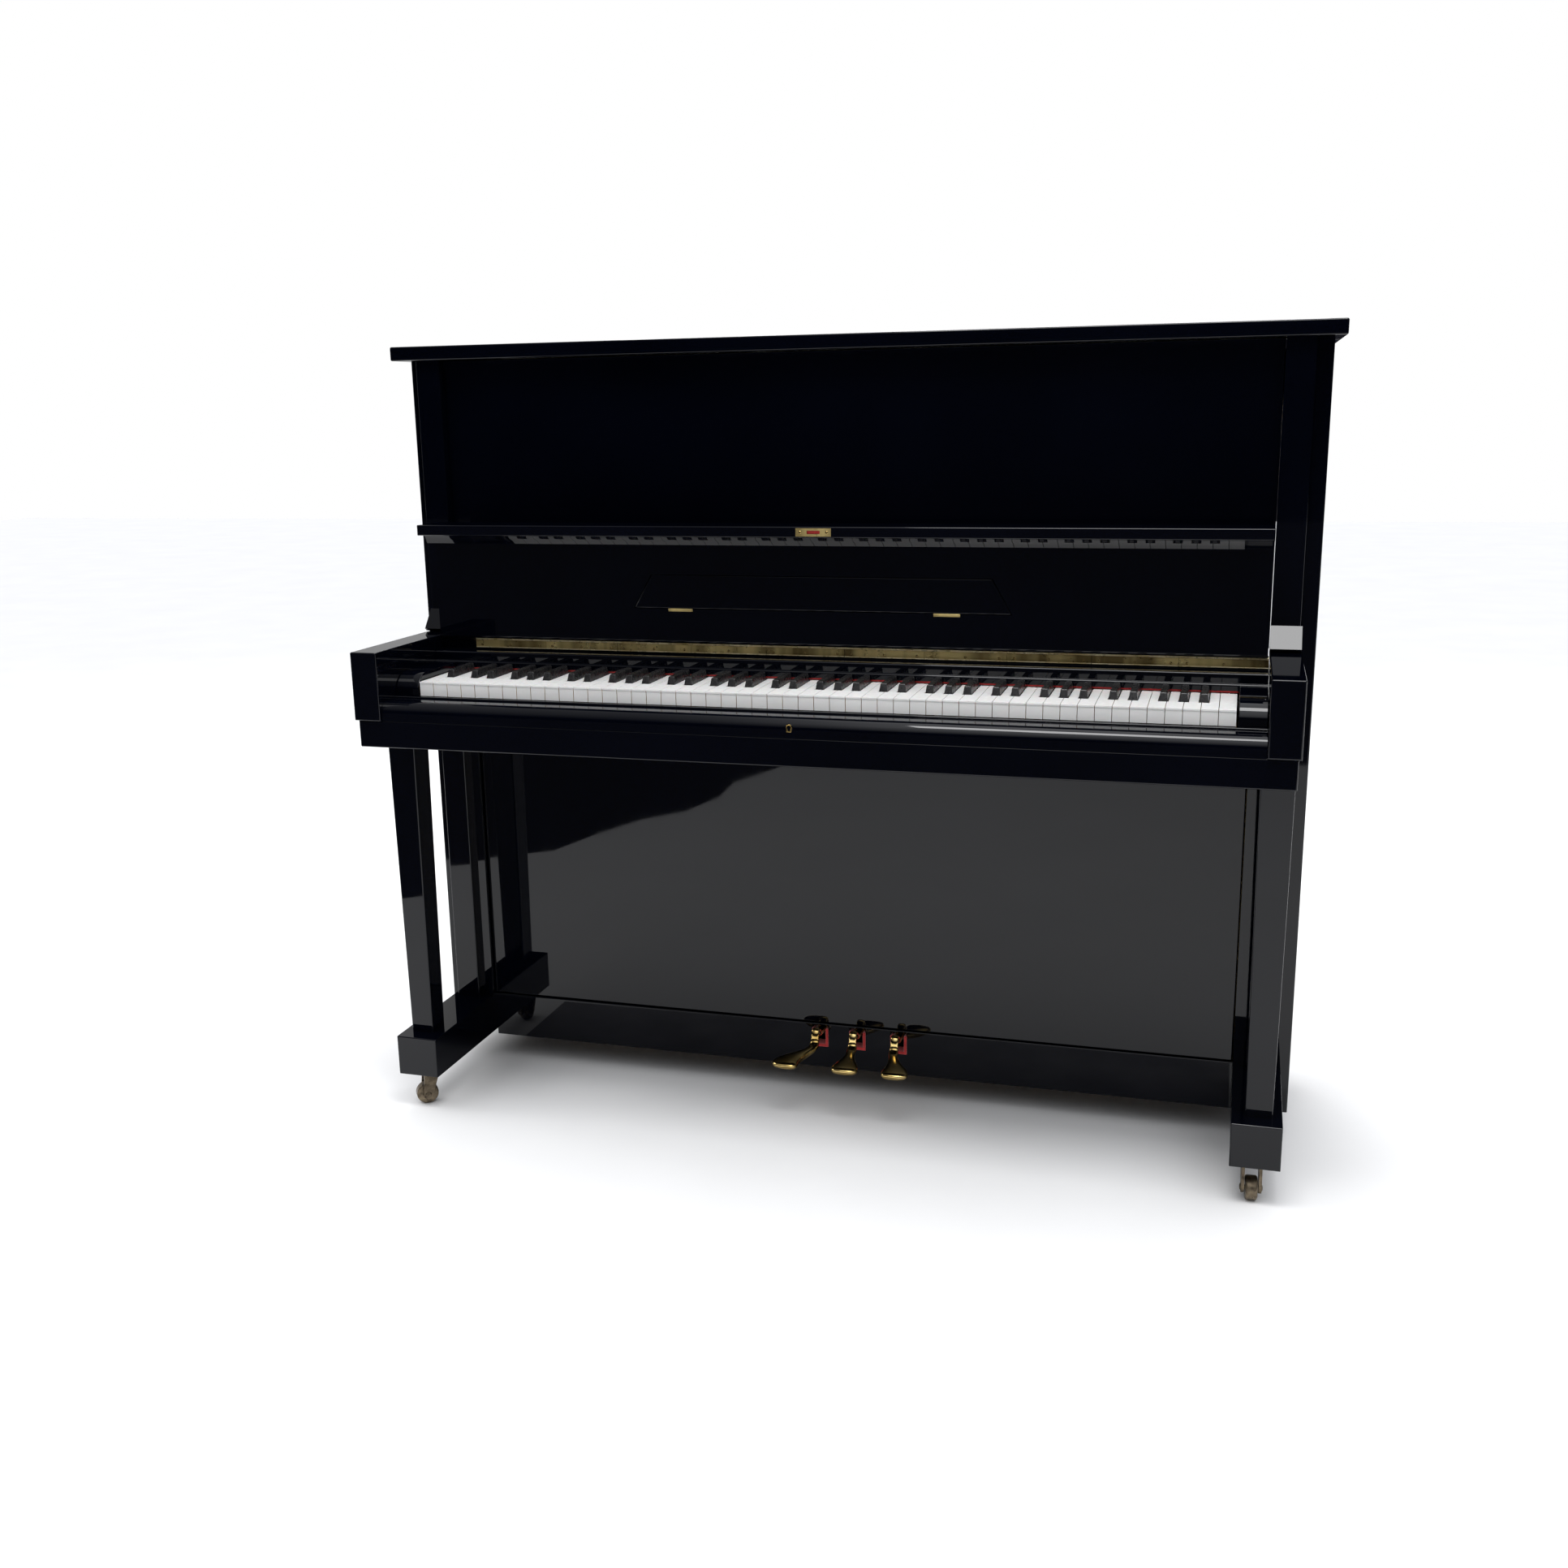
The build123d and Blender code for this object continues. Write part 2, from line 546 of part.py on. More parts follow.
def black_exists(octave, slot):
    """The keyboard runs from the A of octave 0 to the C of octave 8."""
    return slot in SHARPS and (0 < octave < 8 or (octave == 0 and slot == 10))


def white_outline(octave, natural):
    """Plan of a white key: head, tail between the black keys, stick in its own slot."""
    slot = WHITE_SLOTS[natural]
    left = FIRST_OCTAVE_LEFT + octave * OCTAVE + natural * WHITE_PITCH + KEY_GAP / 2
    right = left + WHITE_PITCH - KEY_GAP
    tail_left, tail_right = left, right
    if black_exists(octave, slot - 1):
        tail_left = sum(slot_range(octave, slot - 1)) / 2 + BLACK_HALF + BLACK_CLEAR
    if black_exists(octave, slot + 1):
        tail_right = sum(slot_range(octave, slot + 1)) / 2 - BLACK_HALF - BLACK_CLEAR
    stick_left, stick_right = slot_range(octave, slot)
    step_left = 0.6 if stick_left < tail_left else -0.6
    step_right = 0.6 if stick_right > tail_right else -0.6
    head = behind(HEAD_LENGTH - 0.6)
    points = [(left, KEY_FRONT), (right, KEY_FRONT)]
    points += [(right, head), (tail_right, head)] if tail_right < right else []
    points += [(tail_right, KEY_TAIL + step_right), (stick_right, KEY_TAIL + step_right),
               (stick_right, KEY_END), (stick_left, KEY_END),
               (stick_left, KEY_TAIL + step_left), (tail_left, KEY_TAIL + step_left)]
    points += [(tail_left, head), (left, head)] if tail_left > left else []
    return points


def white_bodies(notes):
    """White keys of full height in front, with their sticks cut lower behind the nameboard."""
    with BuildSketch(Plane.XY.offset(WHITE_LOW)) as plan:
        for octave, natural in notes:
            with BuildLine():
                Polyline(*white_outline(octave, natural), close=True)
            make_face()
    extrude(plan.sketch, amount=KEY_DIP_ROOM)
    slab((-KEYBOARD_HALF - 1, KEYBOARD_HALF + 1), (KEY_TAIL + 2, KEY_END + 1),
         (KEY_TOP - STICK_DROP, KEY_TOP + 1), mode=Mode.SUBTRACT)


with BuildPart() as black_cap:
    with BuildSketch(Plane.XY.offset(KEY_TOP - STICK_DROP)):
        box_sketch((-BLACK_HALF, BLACK_HALF), (behind(50.8), BLACK_END))
    with BuildSketch(Plane.XY.offset(KEY_TOP + BLACK_HEIGHT)):
        box_sketch((-BLACK_TOP_HALF, BLACK_TOP_HALF), (behind(55.5), BLACK_END))
    loft()


def black_bodies(notes):
    """Black keys: a wooden stick each, with a tapered cap on its front end."""
    centres = [sum(slot_range(octave, slot)) / 2 for octave, slot in notes]
    slab_row(centres, BLACK_HALF - 0.7, (behind(52), KEY_END), (WHITE_LOW, KEY_TOP - STICK_DROP))
    with Locations([(centre, 0, 0) for centre in centres]):
        add(black_cap.part)


OUTER_WHITES = [
    (octave, natural) for octave in range(9) for natural in range(7)
    if octave != MIDDLE and (octave > 0 or natural > 4) and (octave < 8 or natural == 0)
]
OUTER_BLACKS = [
    (octave, slot) for octave in range(8) for slot in SHARPS
    if octave != MIDDLE and black_exists(octave, slot)
]

with BuildPart() as white_keys:
    white_bodies(OUTER_WHITES)
save(white_keys.part, "white_keys")

with BuildPart() as black_keys:
    black_bodies(OUTER_BLACKS)
save(black_keys.part, "black_keys")

for natural, note in enumerate(NATURALS):
    with BuildPart() as single_white:
        white_bodies([(MIDDLE, natural)])
    save(single_white.part, f"key_{note}")

for slot, note in SHARPS.items():
    with BuildPart() as single_black:
        black_bodies([(MIDDLE, slot)])
    save(single_black.part, f"key_{note}")

with BuildPart() as key_frame:
    rail_half = KEYBOARD_HALF + 1
    slab((-rail_half, rail_half), (behind(10), behind(50)), (ARM_LOW, ARM_LOW + 14))
    slab((-rail_half, rail_half), (BALANCE - 16, BALANCE + 16), (ARM_LOW, WHITE_LOW - 3))
    cross_bar(2.6, BALANCE, WHITE_LOW - 3, (-rail_half, rail_half))
    slab((-rail_half, rail_half), (behind(345), KEY_END - 2), (ARM_LOW, WHITE_LOW - 4))
    for rail_x in (-rail_half + 20, -200, 200, rail_half - 20):
        slab((rail_x - 20, rail_x + 20), (behind(20), behind(360)), (ARM_LOW, ARM_LOW + 10))
save(key_frame.part, "key_frame")

# ---- action: brackets, rails, one wippen per note, and the row of hammers -----------------------------
ACTION_HALF = KEYBOARD_HALF - 4
HAMMER_RAIL = (behind(318), 905.0)
STRIKE_Z = 1030.0
NOTE_PITCH = 2 * ACTION_HALF / 88
NOTE_X = [-ACTION_HALF + (note + 0.5) * NOTE_PITCH for note in range(88)]

with BuildPart() as action_frame:
    for bracket_x in (-ACTION_HALF - 12, -205, 205, ACTION_HALF + 12):
        profile(((KEY_END + 4, ARM_LOW), (KEY_END + 14, ARM_LOW), (KEY_END + 12, 980),
                 (behind(352), 980), (behind(345), 900), (behind(272), 870), (behind(268), 760),
                 (behind(290), 752), (KEY_END + 4, 752)), (bracket_x - 4, bracket_x + 4))
    slab((-ACTION_HALF - 12, ACTION_HALF + 12), (behind(330), behind(356)), (820, 860))
    slab((-ACTION_HALF - 12, ACTION_HALF + 12), (behind(268), behind(280)), (800, 830))
    slab_row(NOTE_X, 4, (behind(290), behind(362)), (770, 784))
    slab_row(NOTE_X, 3, (behind(300), behind(314)), (742, 770))
    slab_row(NOTE_X, 3, (behind(338), behind(348)), (784, 820.5))
save(action_frame.part, "action_frame")

with BuildPart() as hammer_head:
    profile(((behind(306), STRIKE_Z - 11), (behind(335), STRIKE_Z - 13), (behind(345), STRIKE_Z),
             (behind(335), STRIKE_Z + 13), (behind(306), STRIKE_Z + 11)), (-4.5, 4.5))

with BuildPart() as hammers:
    slab((-ACTION_HALF, ACTION_HALF), (HAMMER_RAIL[0] - 8, HAMMER_RAIL[0] + 8),
         (HAMMER_RAIL[1] - 10, HAMMER_RAIL[1] + 10))
    slab_row(NOTE_X, 2, (HAMMER_RAIL[0] - 2.5, HAMMER_RAIL[0] + 2.5),
             (HAMMER_RAIL[1] + 5, STRIKE_Z + 8))
    with Locations([(note_x, 0, 0) for note_x in NOTE_X]):
        add(hammer_head.part)
save(hammers.part, "hammers")

# ---- iron plate, strings, soundboard and back ------------------------------------------------------------
PLATE_HALF = CHEEK_IN - 4
PLATE_LOW, PLATE_TOP = 130.0, 1190.0
PIN_LOW, PIN_TOP = 1090.0, 1160.0
with BuildPart() as iron_plate:
    slab((-PLATE_HALF, PLATE_HALF), (PLATE_FRONT, PLATE_FRONT + 12), (PLATE_LOW, PLATE_TOP))
    bay_edges = (-590, -250, 60, 330, 590)
    for bay_left, bay_right in zip(bay_edges, bay_edges[1:]):
        slab((bay_left + 14, bay_right - 14), (PLATE_FRONT - 1, PLATE_FRONT + 13), (230, 1010),
             mode=Mode.SUBTRACT)
    for bay_edge in bay_edges:
        slab((bay_edge - 9, bay_edge + 9), (PLATE_FRONT - 3, PLATE_FRONT + 1), (180, 1050))
save(iron_plate.part, "iron_plate")

BASS_NOTES = 30
BASS_FOOT = 165.0
TREBLE_RISE = 600.0
with BuildPart() as strings:
    for pin_row in range(3):
        row_x = NOTE_X[pin_row::3]
        pin_z = PIN_LOW + (PIN_TOP - PIN_LOW) * pin_row / 2
        with BuildSketch(Plane.XZ.offset(-PLATE_FRONT)):
            with Locations([(note_x, pin_z) for note_x in row_x]):
                Circle(3.2)
        extrude(amount=24)
        bass = [note for note in range(pin_row, 88, 3) if note < BASS_NOTES]
        with BuildSketch(Plane.XY.offset(BASS_FOOT)):
            for note in bass:
                with Locations((NOTE_X[note], STRING_Y)):
                    Circle(1.6 - 0.025 * note)
        extrude(amount=pin_z - BASS_FOOT)
        for octave_start in range(BASS_NOTES, 88, 12):
            foot = BASS_FOOT + TREBLE_RISE * (octave_start - BASS_NOTES) / (88 - BASS_NOTES)
            treble = [note for note in range(octave_start, min(octave_start + 12, 88))
                      if note % 3 == pin_row]
            with BuildSketch(Plane.XY.offset(foot)):
                with Locations([(NOTE_X[note], STRING_Y) for note in treble]):
                    Circle(0.5)
            extrude(amount=pin_z - foot)
save(strings.part, "strings")

with BuildPart() as soundboard:
    slab((-PLATE_HALF, PLATE_HALF), (BOARD_FRONT, BOARD_FRONT + 8), (155, 1060))
    for rib in range(9):
        rib_z = 210 + rib * 98
        slab((-PLATE_HALF + 20, PLATE_HALF - 20), (BOARD_FRONT + 8, BOARD_FRONT + 24),
             (rib_z, rib_z + 22))
save(soundboard.part, "soundboard")

POST_X = (-600, -210, 210, 600)
with BuildPart() as back_frame:
    for post_x in POST_X:
        slab((post_x - 34, post_x + 34), (POST_FRONT, POST_BACK), (REAR_TOP, 1208))
    slab((-SIDE_IN, SIDE_IN), (POST_FRONT, POST_BACK), (REAR_TOP, 150))
    slab((-SIDE_IN, SIDE_IN), (POST_FRONT, POST_BACK), (1120, 1208))
    slab((-PLATE_HALF, PLATE_HALF), (PLATE_FRONT + 12, POST_FRONT), (1070, 1190))
save(back_frame.part, "back_frame")
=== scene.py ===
import json
import math
import random

import bmesh
import bpy
from mathutils import Matrix, Vector

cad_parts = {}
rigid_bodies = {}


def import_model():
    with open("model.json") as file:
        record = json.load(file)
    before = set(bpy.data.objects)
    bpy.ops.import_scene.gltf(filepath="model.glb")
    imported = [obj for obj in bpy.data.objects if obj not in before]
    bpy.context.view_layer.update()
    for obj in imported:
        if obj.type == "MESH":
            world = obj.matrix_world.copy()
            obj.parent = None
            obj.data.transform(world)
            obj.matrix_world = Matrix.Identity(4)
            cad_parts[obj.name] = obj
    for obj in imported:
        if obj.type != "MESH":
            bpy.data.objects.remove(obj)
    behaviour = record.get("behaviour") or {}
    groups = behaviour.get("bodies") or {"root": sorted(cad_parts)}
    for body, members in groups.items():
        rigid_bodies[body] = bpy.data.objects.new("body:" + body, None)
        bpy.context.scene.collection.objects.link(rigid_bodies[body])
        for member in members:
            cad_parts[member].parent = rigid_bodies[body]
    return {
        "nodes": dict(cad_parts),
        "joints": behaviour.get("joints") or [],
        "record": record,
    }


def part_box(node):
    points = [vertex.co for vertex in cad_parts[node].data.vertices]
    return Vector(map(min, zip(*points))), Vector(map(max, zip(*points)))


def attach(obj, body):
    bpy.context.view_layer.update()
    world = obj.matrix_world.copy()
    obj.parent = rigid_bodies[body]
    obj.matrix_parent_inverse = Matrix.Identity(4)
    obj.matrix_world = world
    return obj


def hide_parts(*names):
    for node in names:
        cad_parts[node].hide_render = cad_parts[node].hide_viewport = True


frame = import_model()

# Upright piano in polished black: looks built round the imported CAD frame, in metres.
nodes, record = frame["nodes"], frame["record"]
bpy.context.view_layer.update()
scene = bpy.context.scene
SLOT_OF = {row["node"]: row["material_slot"] for row in record["subparts"]}
BODY_OF = {n: b for b, members in record["behaviour"]["bodies"].items() for n in members}
PIVOT = {joint["name"]: Vector(joint["pos_m"]) for joint in frame["joints"]}

# ---- camera ------------------------------------------------------------------------------------------
CAMERA_PLACE = (0.6078, -2.3829, 1.1243)
YAW, PITCH, ROLL = 0.286, -0.233, -0.0166
LENS_MM, SENSOR_MM = 35.886, 36.0
forward = Vector((-math.sin(YAW) * math.cos(PITCH), math.cos(YAW) * math.cos(PITCH), math.sin(PITCH)))
level = Vector((math.cos(YAW), math.sin(YAW), 0))
upward = level.cross(forward)
cam_x = math.cos(ROLL) * level + math.sin(ROLL) * upward
cam_y = -math.sin(ROLL) * level + math.cos(ROLL) * upward
camera_data = bpy.data.cameras.new("camera")
camera_data.lens, camera_data.sensor_width = LENS_MM, SENSOR_MM
camera = bpy.data.objects.new("camera", camera_data)
scene.collection.objects.link(camera)
turned_view = Matrix((cam_x, cam_y, -forward)).transposed().to_4x4()
camera.matrix_world = Matrix.Translation(CAMERA_PLACE) @ turned_view
scene.camera = camera
scene.view_settings.view_transform = "Standard"

# ---- light -------------------------------------------------------------------------------------------
# The world's "Generated" coordinate is the direction looked in: X to the right, Y to the wall, Z up.
CEILING_START, CEILING_FULL = 0.30, 0.90
CEILING_DARK, CEILING_BRIGHT = (0.012, 0.012, 0.016, 1), (1.80, 1.82, 1.87, 1)
WALL_LIGHT = (0.1, 0.7, 0.0, 0.55)      # from and to, along Y, with the brightness at each
WALL_SIDE = (-0.50, -0.38, 1.0, 0.0)    # the same along X: the wall is lit only at the far left
LEFT_SHADE = (-0.36, -0.14, 0.22, 1.0)  # the same along X: how much of the ceiling the polish mirrors
world = bpy.data.worlds.new("studio")
scene.world = world
world.use_nodes = True
wn, wl = world.node_tree.nodes, world.node_tree.links
wn.clear()


def set_range(node, limits):
    """Fills in a Map Range node: from lowest, from highest, to lowest, to highest."""
    for socket, number in zip(("From Min", "From Max", "To Min", "To Max"), limits):
        node.inputs[socket].default_value = number


def eased(limits):
    node = wn.new("ShaderNodeMapRange")
    node.interpolation_type = "SMOOTHSTEP"
    set_range(node, limits)
    return node


def maths(operation):
    node = wn.new("ShaderNodeMath")
    node.operation = operation
    return node


def blended(blend_type):
    node = wn.new("ShaderNodeMix")
    node.data_type, node.blend_type = "RGBA", blend_type
    node.inputs["Factor"].default_value = 1.0
    return node


coord, split = wn.new("ShaderNodeTexCoord"), wn.new("ShaderNodeSeparateXYZ")
path = wn.new("ShaderNodeLightPath")
ramp = wn.new("ShaderNodeValToRGB")
ramp.color_ramp.elements[0].position, ramp.color_ramp.elements[0].color = CEILING_START, CEILING_DARK
ramp.color_ramp.elements[1].position, ramp.color_ramp.elements[1].color = CEILING_FULL, CEILING_BRIGHT
ceiling, backdrop = wn.new("ShaderNodeBackground"), wn.new("ShaderNodeBackground")
backdrop.inputs["Color"].default_value = (1, 1, 1, 1)
backdrop.inputs["Strength"].default_value = 1.0
either, world_out = wn.new("ShaderNodeMixShader"), wn.new("ShaderNodeOutputWorld")
wall, wall_side, wall_light = eased(WALL_LIGHT), eased(WALL_SIDE), maths("MULTIPLY")
left_shade, not_mirrored, shade = eased(LEFT_SHADE), maths("SUBTRACT"), maths("MAXIMUM")
not_mirrored.inputs[0].default_value = 1.0
shaded, brighter = blended("MULTIPLY"), blended("LIGHTEN")
for output, target in (
        (coord.outputs["Generated"], split.inputs[0]),
        (split.outputs["Z"], ramp.inputs[0]),
        # What the polish mirrors overhead is dark towards the left of the room.
        (split.outputs["X"], left_shade.inputs["Value"]),
        (path.outputs["Is Glossy Ray"], not_mirrored.inputs[1]),
        (left_shade.outputs[0], shade.inputs[0]),
        (not_mirrored.outputs[0], shade.inputs[1]),
        (ramp.outputs[0], shaded.inputs["A"]),
        (shade.outputs[0], shaded.inputs["B"]),
        # The wall behind the piano is lit at the far left.
        (split.outputs["Y"], wall.inputs["Value"]),
        (split.outputs["X"], wall_side.inputs["Value"]),
        (wall.outputs[0], wall_light.inputs[0]),
        (wall_side.outputs[0], wall_light.inputs[1]),
        (shaded.outputs["Result"], brighter.inputs["A"]),
        (wall_light.outputs[0], brighter.inputs["B"]),
        (brighter.outputs["Result"], ceiling.inputs["Color"]),
        # The camera itself sees a white room.
        (path.outputs["Is Camera Ray"], either.inputs[0]),
        (ceiling.outputs[0], either.inputs[1]),
        (backdrop.outputs[0], either.inputs[2]),
        (either.outputs[0], world_out.inputs[0])):
    wl.new(output, target)


def softbox(name, place, aim, size, watts):
    """A rectangular studio light pointed at a spot."""
    data = bpy.data.lights.new(name, "AREA")
    data.shape, data.size, data.size_y = "RECTANGLE", size[0], size[1]
    data.energy = watts
    light = bpy.data.objects.new(name, data)
    scene.collection.objects.link(light)
    light.location = place
    light.rotation_euler = (Vector(aim) - Vector(place)).to_track_quat("-Z", "Y").to_euler()


softbox("ceiling_panel", (0.36, -0.84, 2.80), (0.36, -0.80, 0), (1.24, 0.66), 30)
softbox("back_fill", (-0.4, 3.2, 2.6), (0, 0, 0.6), (2.6, 1.2), 60)
softbox("side_fill", (-3.4, -0.2, 2.2), (0, 0, 0.7), (1.4, 1.4), 26)


def mesh_object(name, bm):
    """Turns a bmesh into an object of the scene and frees it."""
    mesh = bpy.data.meshes.new(name)
    bm.to_mesh(mesh)
    bm.free()
    made = bpy.data.objects.new(name, mesh)
    scene.collection.objects.link(made)
    return made


# ---- procedural materials ----------------------------------------------------------------------------
class Finish:
    """A Principled material with helpers that wire procedural detail into it."""

    def __init__(self, name):
        self.material = bpy.data.materials.new(name)
        self.material.use_nodes = True
        self.nodes, self.links = self.material.node_tree.nodes, self.material.node_tree.links
        self.shader = self.nodes["Principled BSDF"]
        self.where = self.nodes.new("ShaderNodeTexCoord").outputs["Object"]

    def set(self, **values):
        """Sets plain sockets of the shader, written with _ for each space."""
        for socket, value in values.items():
            self.shader.inputs[socket.replace("_", " ")].default_value = value
        return self

    def stretched(self, scale):
        """Object coordinates scaled per axis: a small scale draws a pattern out along that axis."""
        mapping = self.nodes.new("ShaderNodeMapping")
        mapping.inputs["Scale"].default_value = scale
        self.links.new(self.where, mapping.inputs["Vector"])
        return mapping.outputs[0]

    def noise(self, scale, detail=4.0, rough=0.55, stretch=(1, 1, 1), warp=0.0):
        node = self.nodes.new("ShaderNodeTexNoise")
        node.inputs["Scale"].default_value = scale
        node.inputs["Detail"].default_value = detail
        node.inputs["Roughness"].default_value = rough
        node.inputs["Distortion"].default_value = warp
        self.links.new(self.stretched(stretch), node.inputs["Vector"])
        return node.outputs[0]

    def rings(self, scale, direction, warp, stretch=(1, 1, 1)):
        node = self.nodes.new("ShaderNodeTexWave")
        node.bands_direction = direction
        node.inputs["Scale"].default_value = scale
        node.inputs["Distortion"].default_value = warp
        node.inputs["Detail"].default_value = 3
        self.links.new(self.stretched(stretch), node.inputs["Vector"])
        return node.outputs[1]

    def spread(self, value, low, high, start=0.3, end=0.7):
        """A number that goes from low to high as a value goes from start to end."""
        node = self.nodes.new("ShaderNodeMapRange")
        set_range(node, (start, end, low, high))
        self.links.new(value, node.inputs["Value"])
        return node.outputs[0]

    def between(self, value, first, second, start=0.3, end=0.7):
        """A colour that goes from first to second as a value goes from start to end."""
        node = self.nodes.new("ShaderNodeValToRGB")
        for element, place, colour in zip(node.color_ramp.elements, (start, end), (first, second)):
            element.position, element.color = place, (*colour, 1)
        self.links.new(value, node.inputs[0])
        return node.outputs[0]

    def colour(self, socket):
        self.links.new(socket, self.shader.inputs["Base Color"])
        return self

    def roughness(self, socket):
        self.links.new(socket, self.shader.inputs["Roughness"])
        return self

    def bump(self, *layers):
        """Stacks height maps given as (socket, strength, distance)."""
        before = None
        for socket, strength, distance in layers:
            node = self.nodes.new("ShaderNodeBump")
            node.inputs["Strength"].default_value = strength
            node.inputs["Distance"].default_value = distance
            self.links.new(socket, node.inputs["Height"])
            if before is not None:
                self.links.new(before, node.inputs["Normal"])
            before = node.outputs[0]
        self.links.new(before, self.shader.inputs["Normal"])
        return self


def lacquer():
    f = Finish("black_polyester").set(IOR=1.41)
    f.colour(f.between(f.noise(3.0, 3), (0.0003, 0.0006, 0.0020), (0.0008, 0.0012, 0.0034)))
    f.roughness(f.spread(f.noise(22, 6, 0.6), 0.012, 0.045))
    f.bump((f.noise(2.2, 2, 0.4), 0.25, 0.0006), (f.noise(380, 2), 0.05, 0.00003))
    return f.material


def brushed_brass():
    f = Finish("aged_brass").set(Metallic=0.62)
    patches = f.noise(16, 3, 0.6, (1, 0.03, 0.03), 0.3)
    f.colour(f.between(patches, (0.20, 0.14, 0.045), (0.80, 0.63, 0.26), 0.40, 0.60))
    f.roughness(f.spread(f.noise(60, 6), 0.24, 0.40))
    f.bump((f.noise(900, 2, 0.5, (0.06, 1, 1)), 0.18, 0.0001))
    return f.material


# A lighter, less metallic copy of the brass: a painted highlight for the hinge knuckles and lips.
def highlight_brass():
    f = Finish("brass_painted_highlight").set(Metallic=0.35)
    patches = f.noise(20, 4, 0.6, (1, 0.05, 0.05))
    f.colour(f.between(patches, (0.66, 0.50, 0.22), (0.92, 0.80, 0.50), 0.36, 0.60))
    f.roughness(f.spread(f.noise(80, 5), 0.22, 0.36))
    f.bump((f.noise(600, 2, 0.5, (0.08, 1, 1)), 0.12, 0.0001))
    return f.material


def cast_brass():
    f = Finish("polished_brass").set(Metallic=1.0)
    f.colour(f.between(f.noise(28, 5), (0.55, 0.35, 0.09), (0.88, 0.66, 0.27), 0.30, 0.62))
    f.roughness(f.spread(f.noise(90, 5), 0.05, 0.16))
    f.bump((f.noise(40, 2), 0.12, 0.0005), (f.noise(800, 2, 0.5, (1, 0.08, 1)), 0.08, 0.0001))
    return f.material


def bronze():
    f = Finish("aged_bronze").set(Metallic=0.9)
    f.colour(f.between(f.noise(70, 6, 0.65), (0.055, 0.042, 0.030), (0.25, 0.20, 0.135), 0.34, 0.64))
    f.roughness(f.spread(f.noise(120, 5), 0.24, 0.55))
    f.bump((f.noise(260, 4), 0.25, 0.0003))
    return f.material


def acrylic():
    f = Finish("white_acrylic").set(IOR=1.49, Subsurface_Weight=0.05, Subsurface_Scale=0.002)
    f.colour(f.between(f.noise(9, 3), (0.85, 0.845, 0.83), (0.91, 0.905, 0.89)))
    f.roughness(f.spread(f.noise(140, 5), 0.10, 0.24))
    f.bump((f.noise(700, 2, 0.5, (1, 0.1, 1)), 0.05, 0.00005))
    return f.material


def phenolic():
    f = Finish("black_key_cap").set(IOR=1.5)
    f.colour(f.between(f.noise(40, 4), (0.008, 0.008, 0.009), (0.022, 0.021, 0.021)))
    f.roughness(f.spread(f.noise(160, 5), 0.20, 0.36))
    f.bump((f.noise(900, 3, 0.5, (1, 0.15, 1)), 0.10, 0.0001))
    return f.material


def felt(name, dark, light):
    f = Finish(name).set(Roughness=0.95, Sheen_Weight=0.7, Sheen_Roughness=0.45)
    f.colour(f.between(f.noise(420, 5, 0.7), dark, light))
    f.bump((f.noise(1400, 4, 0.7), 0.6, 0.0006), (f.noise(160, 3), 0.3, 0.0008))
    return f.material


def timber(name, dark, light, direction, stretch, scale, gloss=0.42):
    f = Finish(name).set(IOR=1.46)
    grain = f.rings(scale, direction, 2.5, stretch)
    f.colour(f.between(grain, dark, light, 0.15, 0.85))
    f.roughness(f.spread(f.noise(55, 5), gloss, gloss + 0.2))
    f.bump((grain, 0.15, 0.0004), (f.noise(500, 3, 0.6, stretch), 0.20, 0.0002))
    return f.material


def sprayed_iron():
    f = Finish("bronze_sprayed_iron").set(Metallic=0.75)
    f.colour(f.between(f.noise(900, 3), (0.38, 0.27, 0.10), (0.66, 0.50, 0.22)))
    f.roughness(f.spread(f.noise(30, 5), 0.30, 0.46))
    f.bump((f.noise(1100, 3), 0.30, 0.0002), (f.noise(20, 3), 0.2, 0.001))
    return f.material


def bright_steel():
    f = Finish("bright_steel").set(Metallic=1.0)
    f.colour(f.between(f.noise(60, 5), (0.36, 0.36, 0.38), (0.62, 0.62, 0.64)))
    f.roughness(f.spread(f.noise(200, 4), 0.18, 0.38))
    f.bump((f.noise(1200, 2, 0.5, (1, 1, 0.05)), 0.15, 0.0001))
    return f.material


ALONG, UPRIGHT = (1, 0.12, 1), (1, 1, 0.12)  # how the grain is drawn out: along Y, along Z
LACQUER = lacquer()
BRASS = brushed_brass()
HIGHLIGHT_BRASS = highlight_brass()
PEDAL_BRASS = cast_brass()
BRONZE = bronze()
WHITE = acrylic()
BLACK = phenolic()
RED_FELT = felt("red_felt", (0.30, 0.012, 0.012), (0.55, 0.03, 0.03))
WHITE_FELT = felt("cream_felt", (0.62, 0.57, 0.46), (0.80, 0.76, 0.66))
KEY_WOOD = timber("key_wood", (0.52, 0.36, 0.19), (0.72, 0.54, 0.33), "X", ALONG, 60)
FRAME_WOOD = timber("frame_wood", (0.50, 0.34, 0.18), (0.60, 0.43, 0.24), "X", UPRIGHT, 34)
SPRUCE = timber("spruce_board", (0.68, 0.49, 0.26), (0.78, 0.59, 0.34), "X", UPRIGHT, 85, 0.3)
IRON = sprayed_iron()
STEEL = bright_steel()
MATERIAL_OF = {
    "gloss_black": LACQUER, "brass": BRASS, "polished_brass": PEDAL_BRASS, "aged_bronze": BRONZE,
    "white_key": WHITE, "black_key": BLACK, "red_felt": RED_FELT, "bare_wood": FRAME_WOOD,
    "spruce": SPRUCE, "bronze_iron": IRON, "steel": STEEL,
}

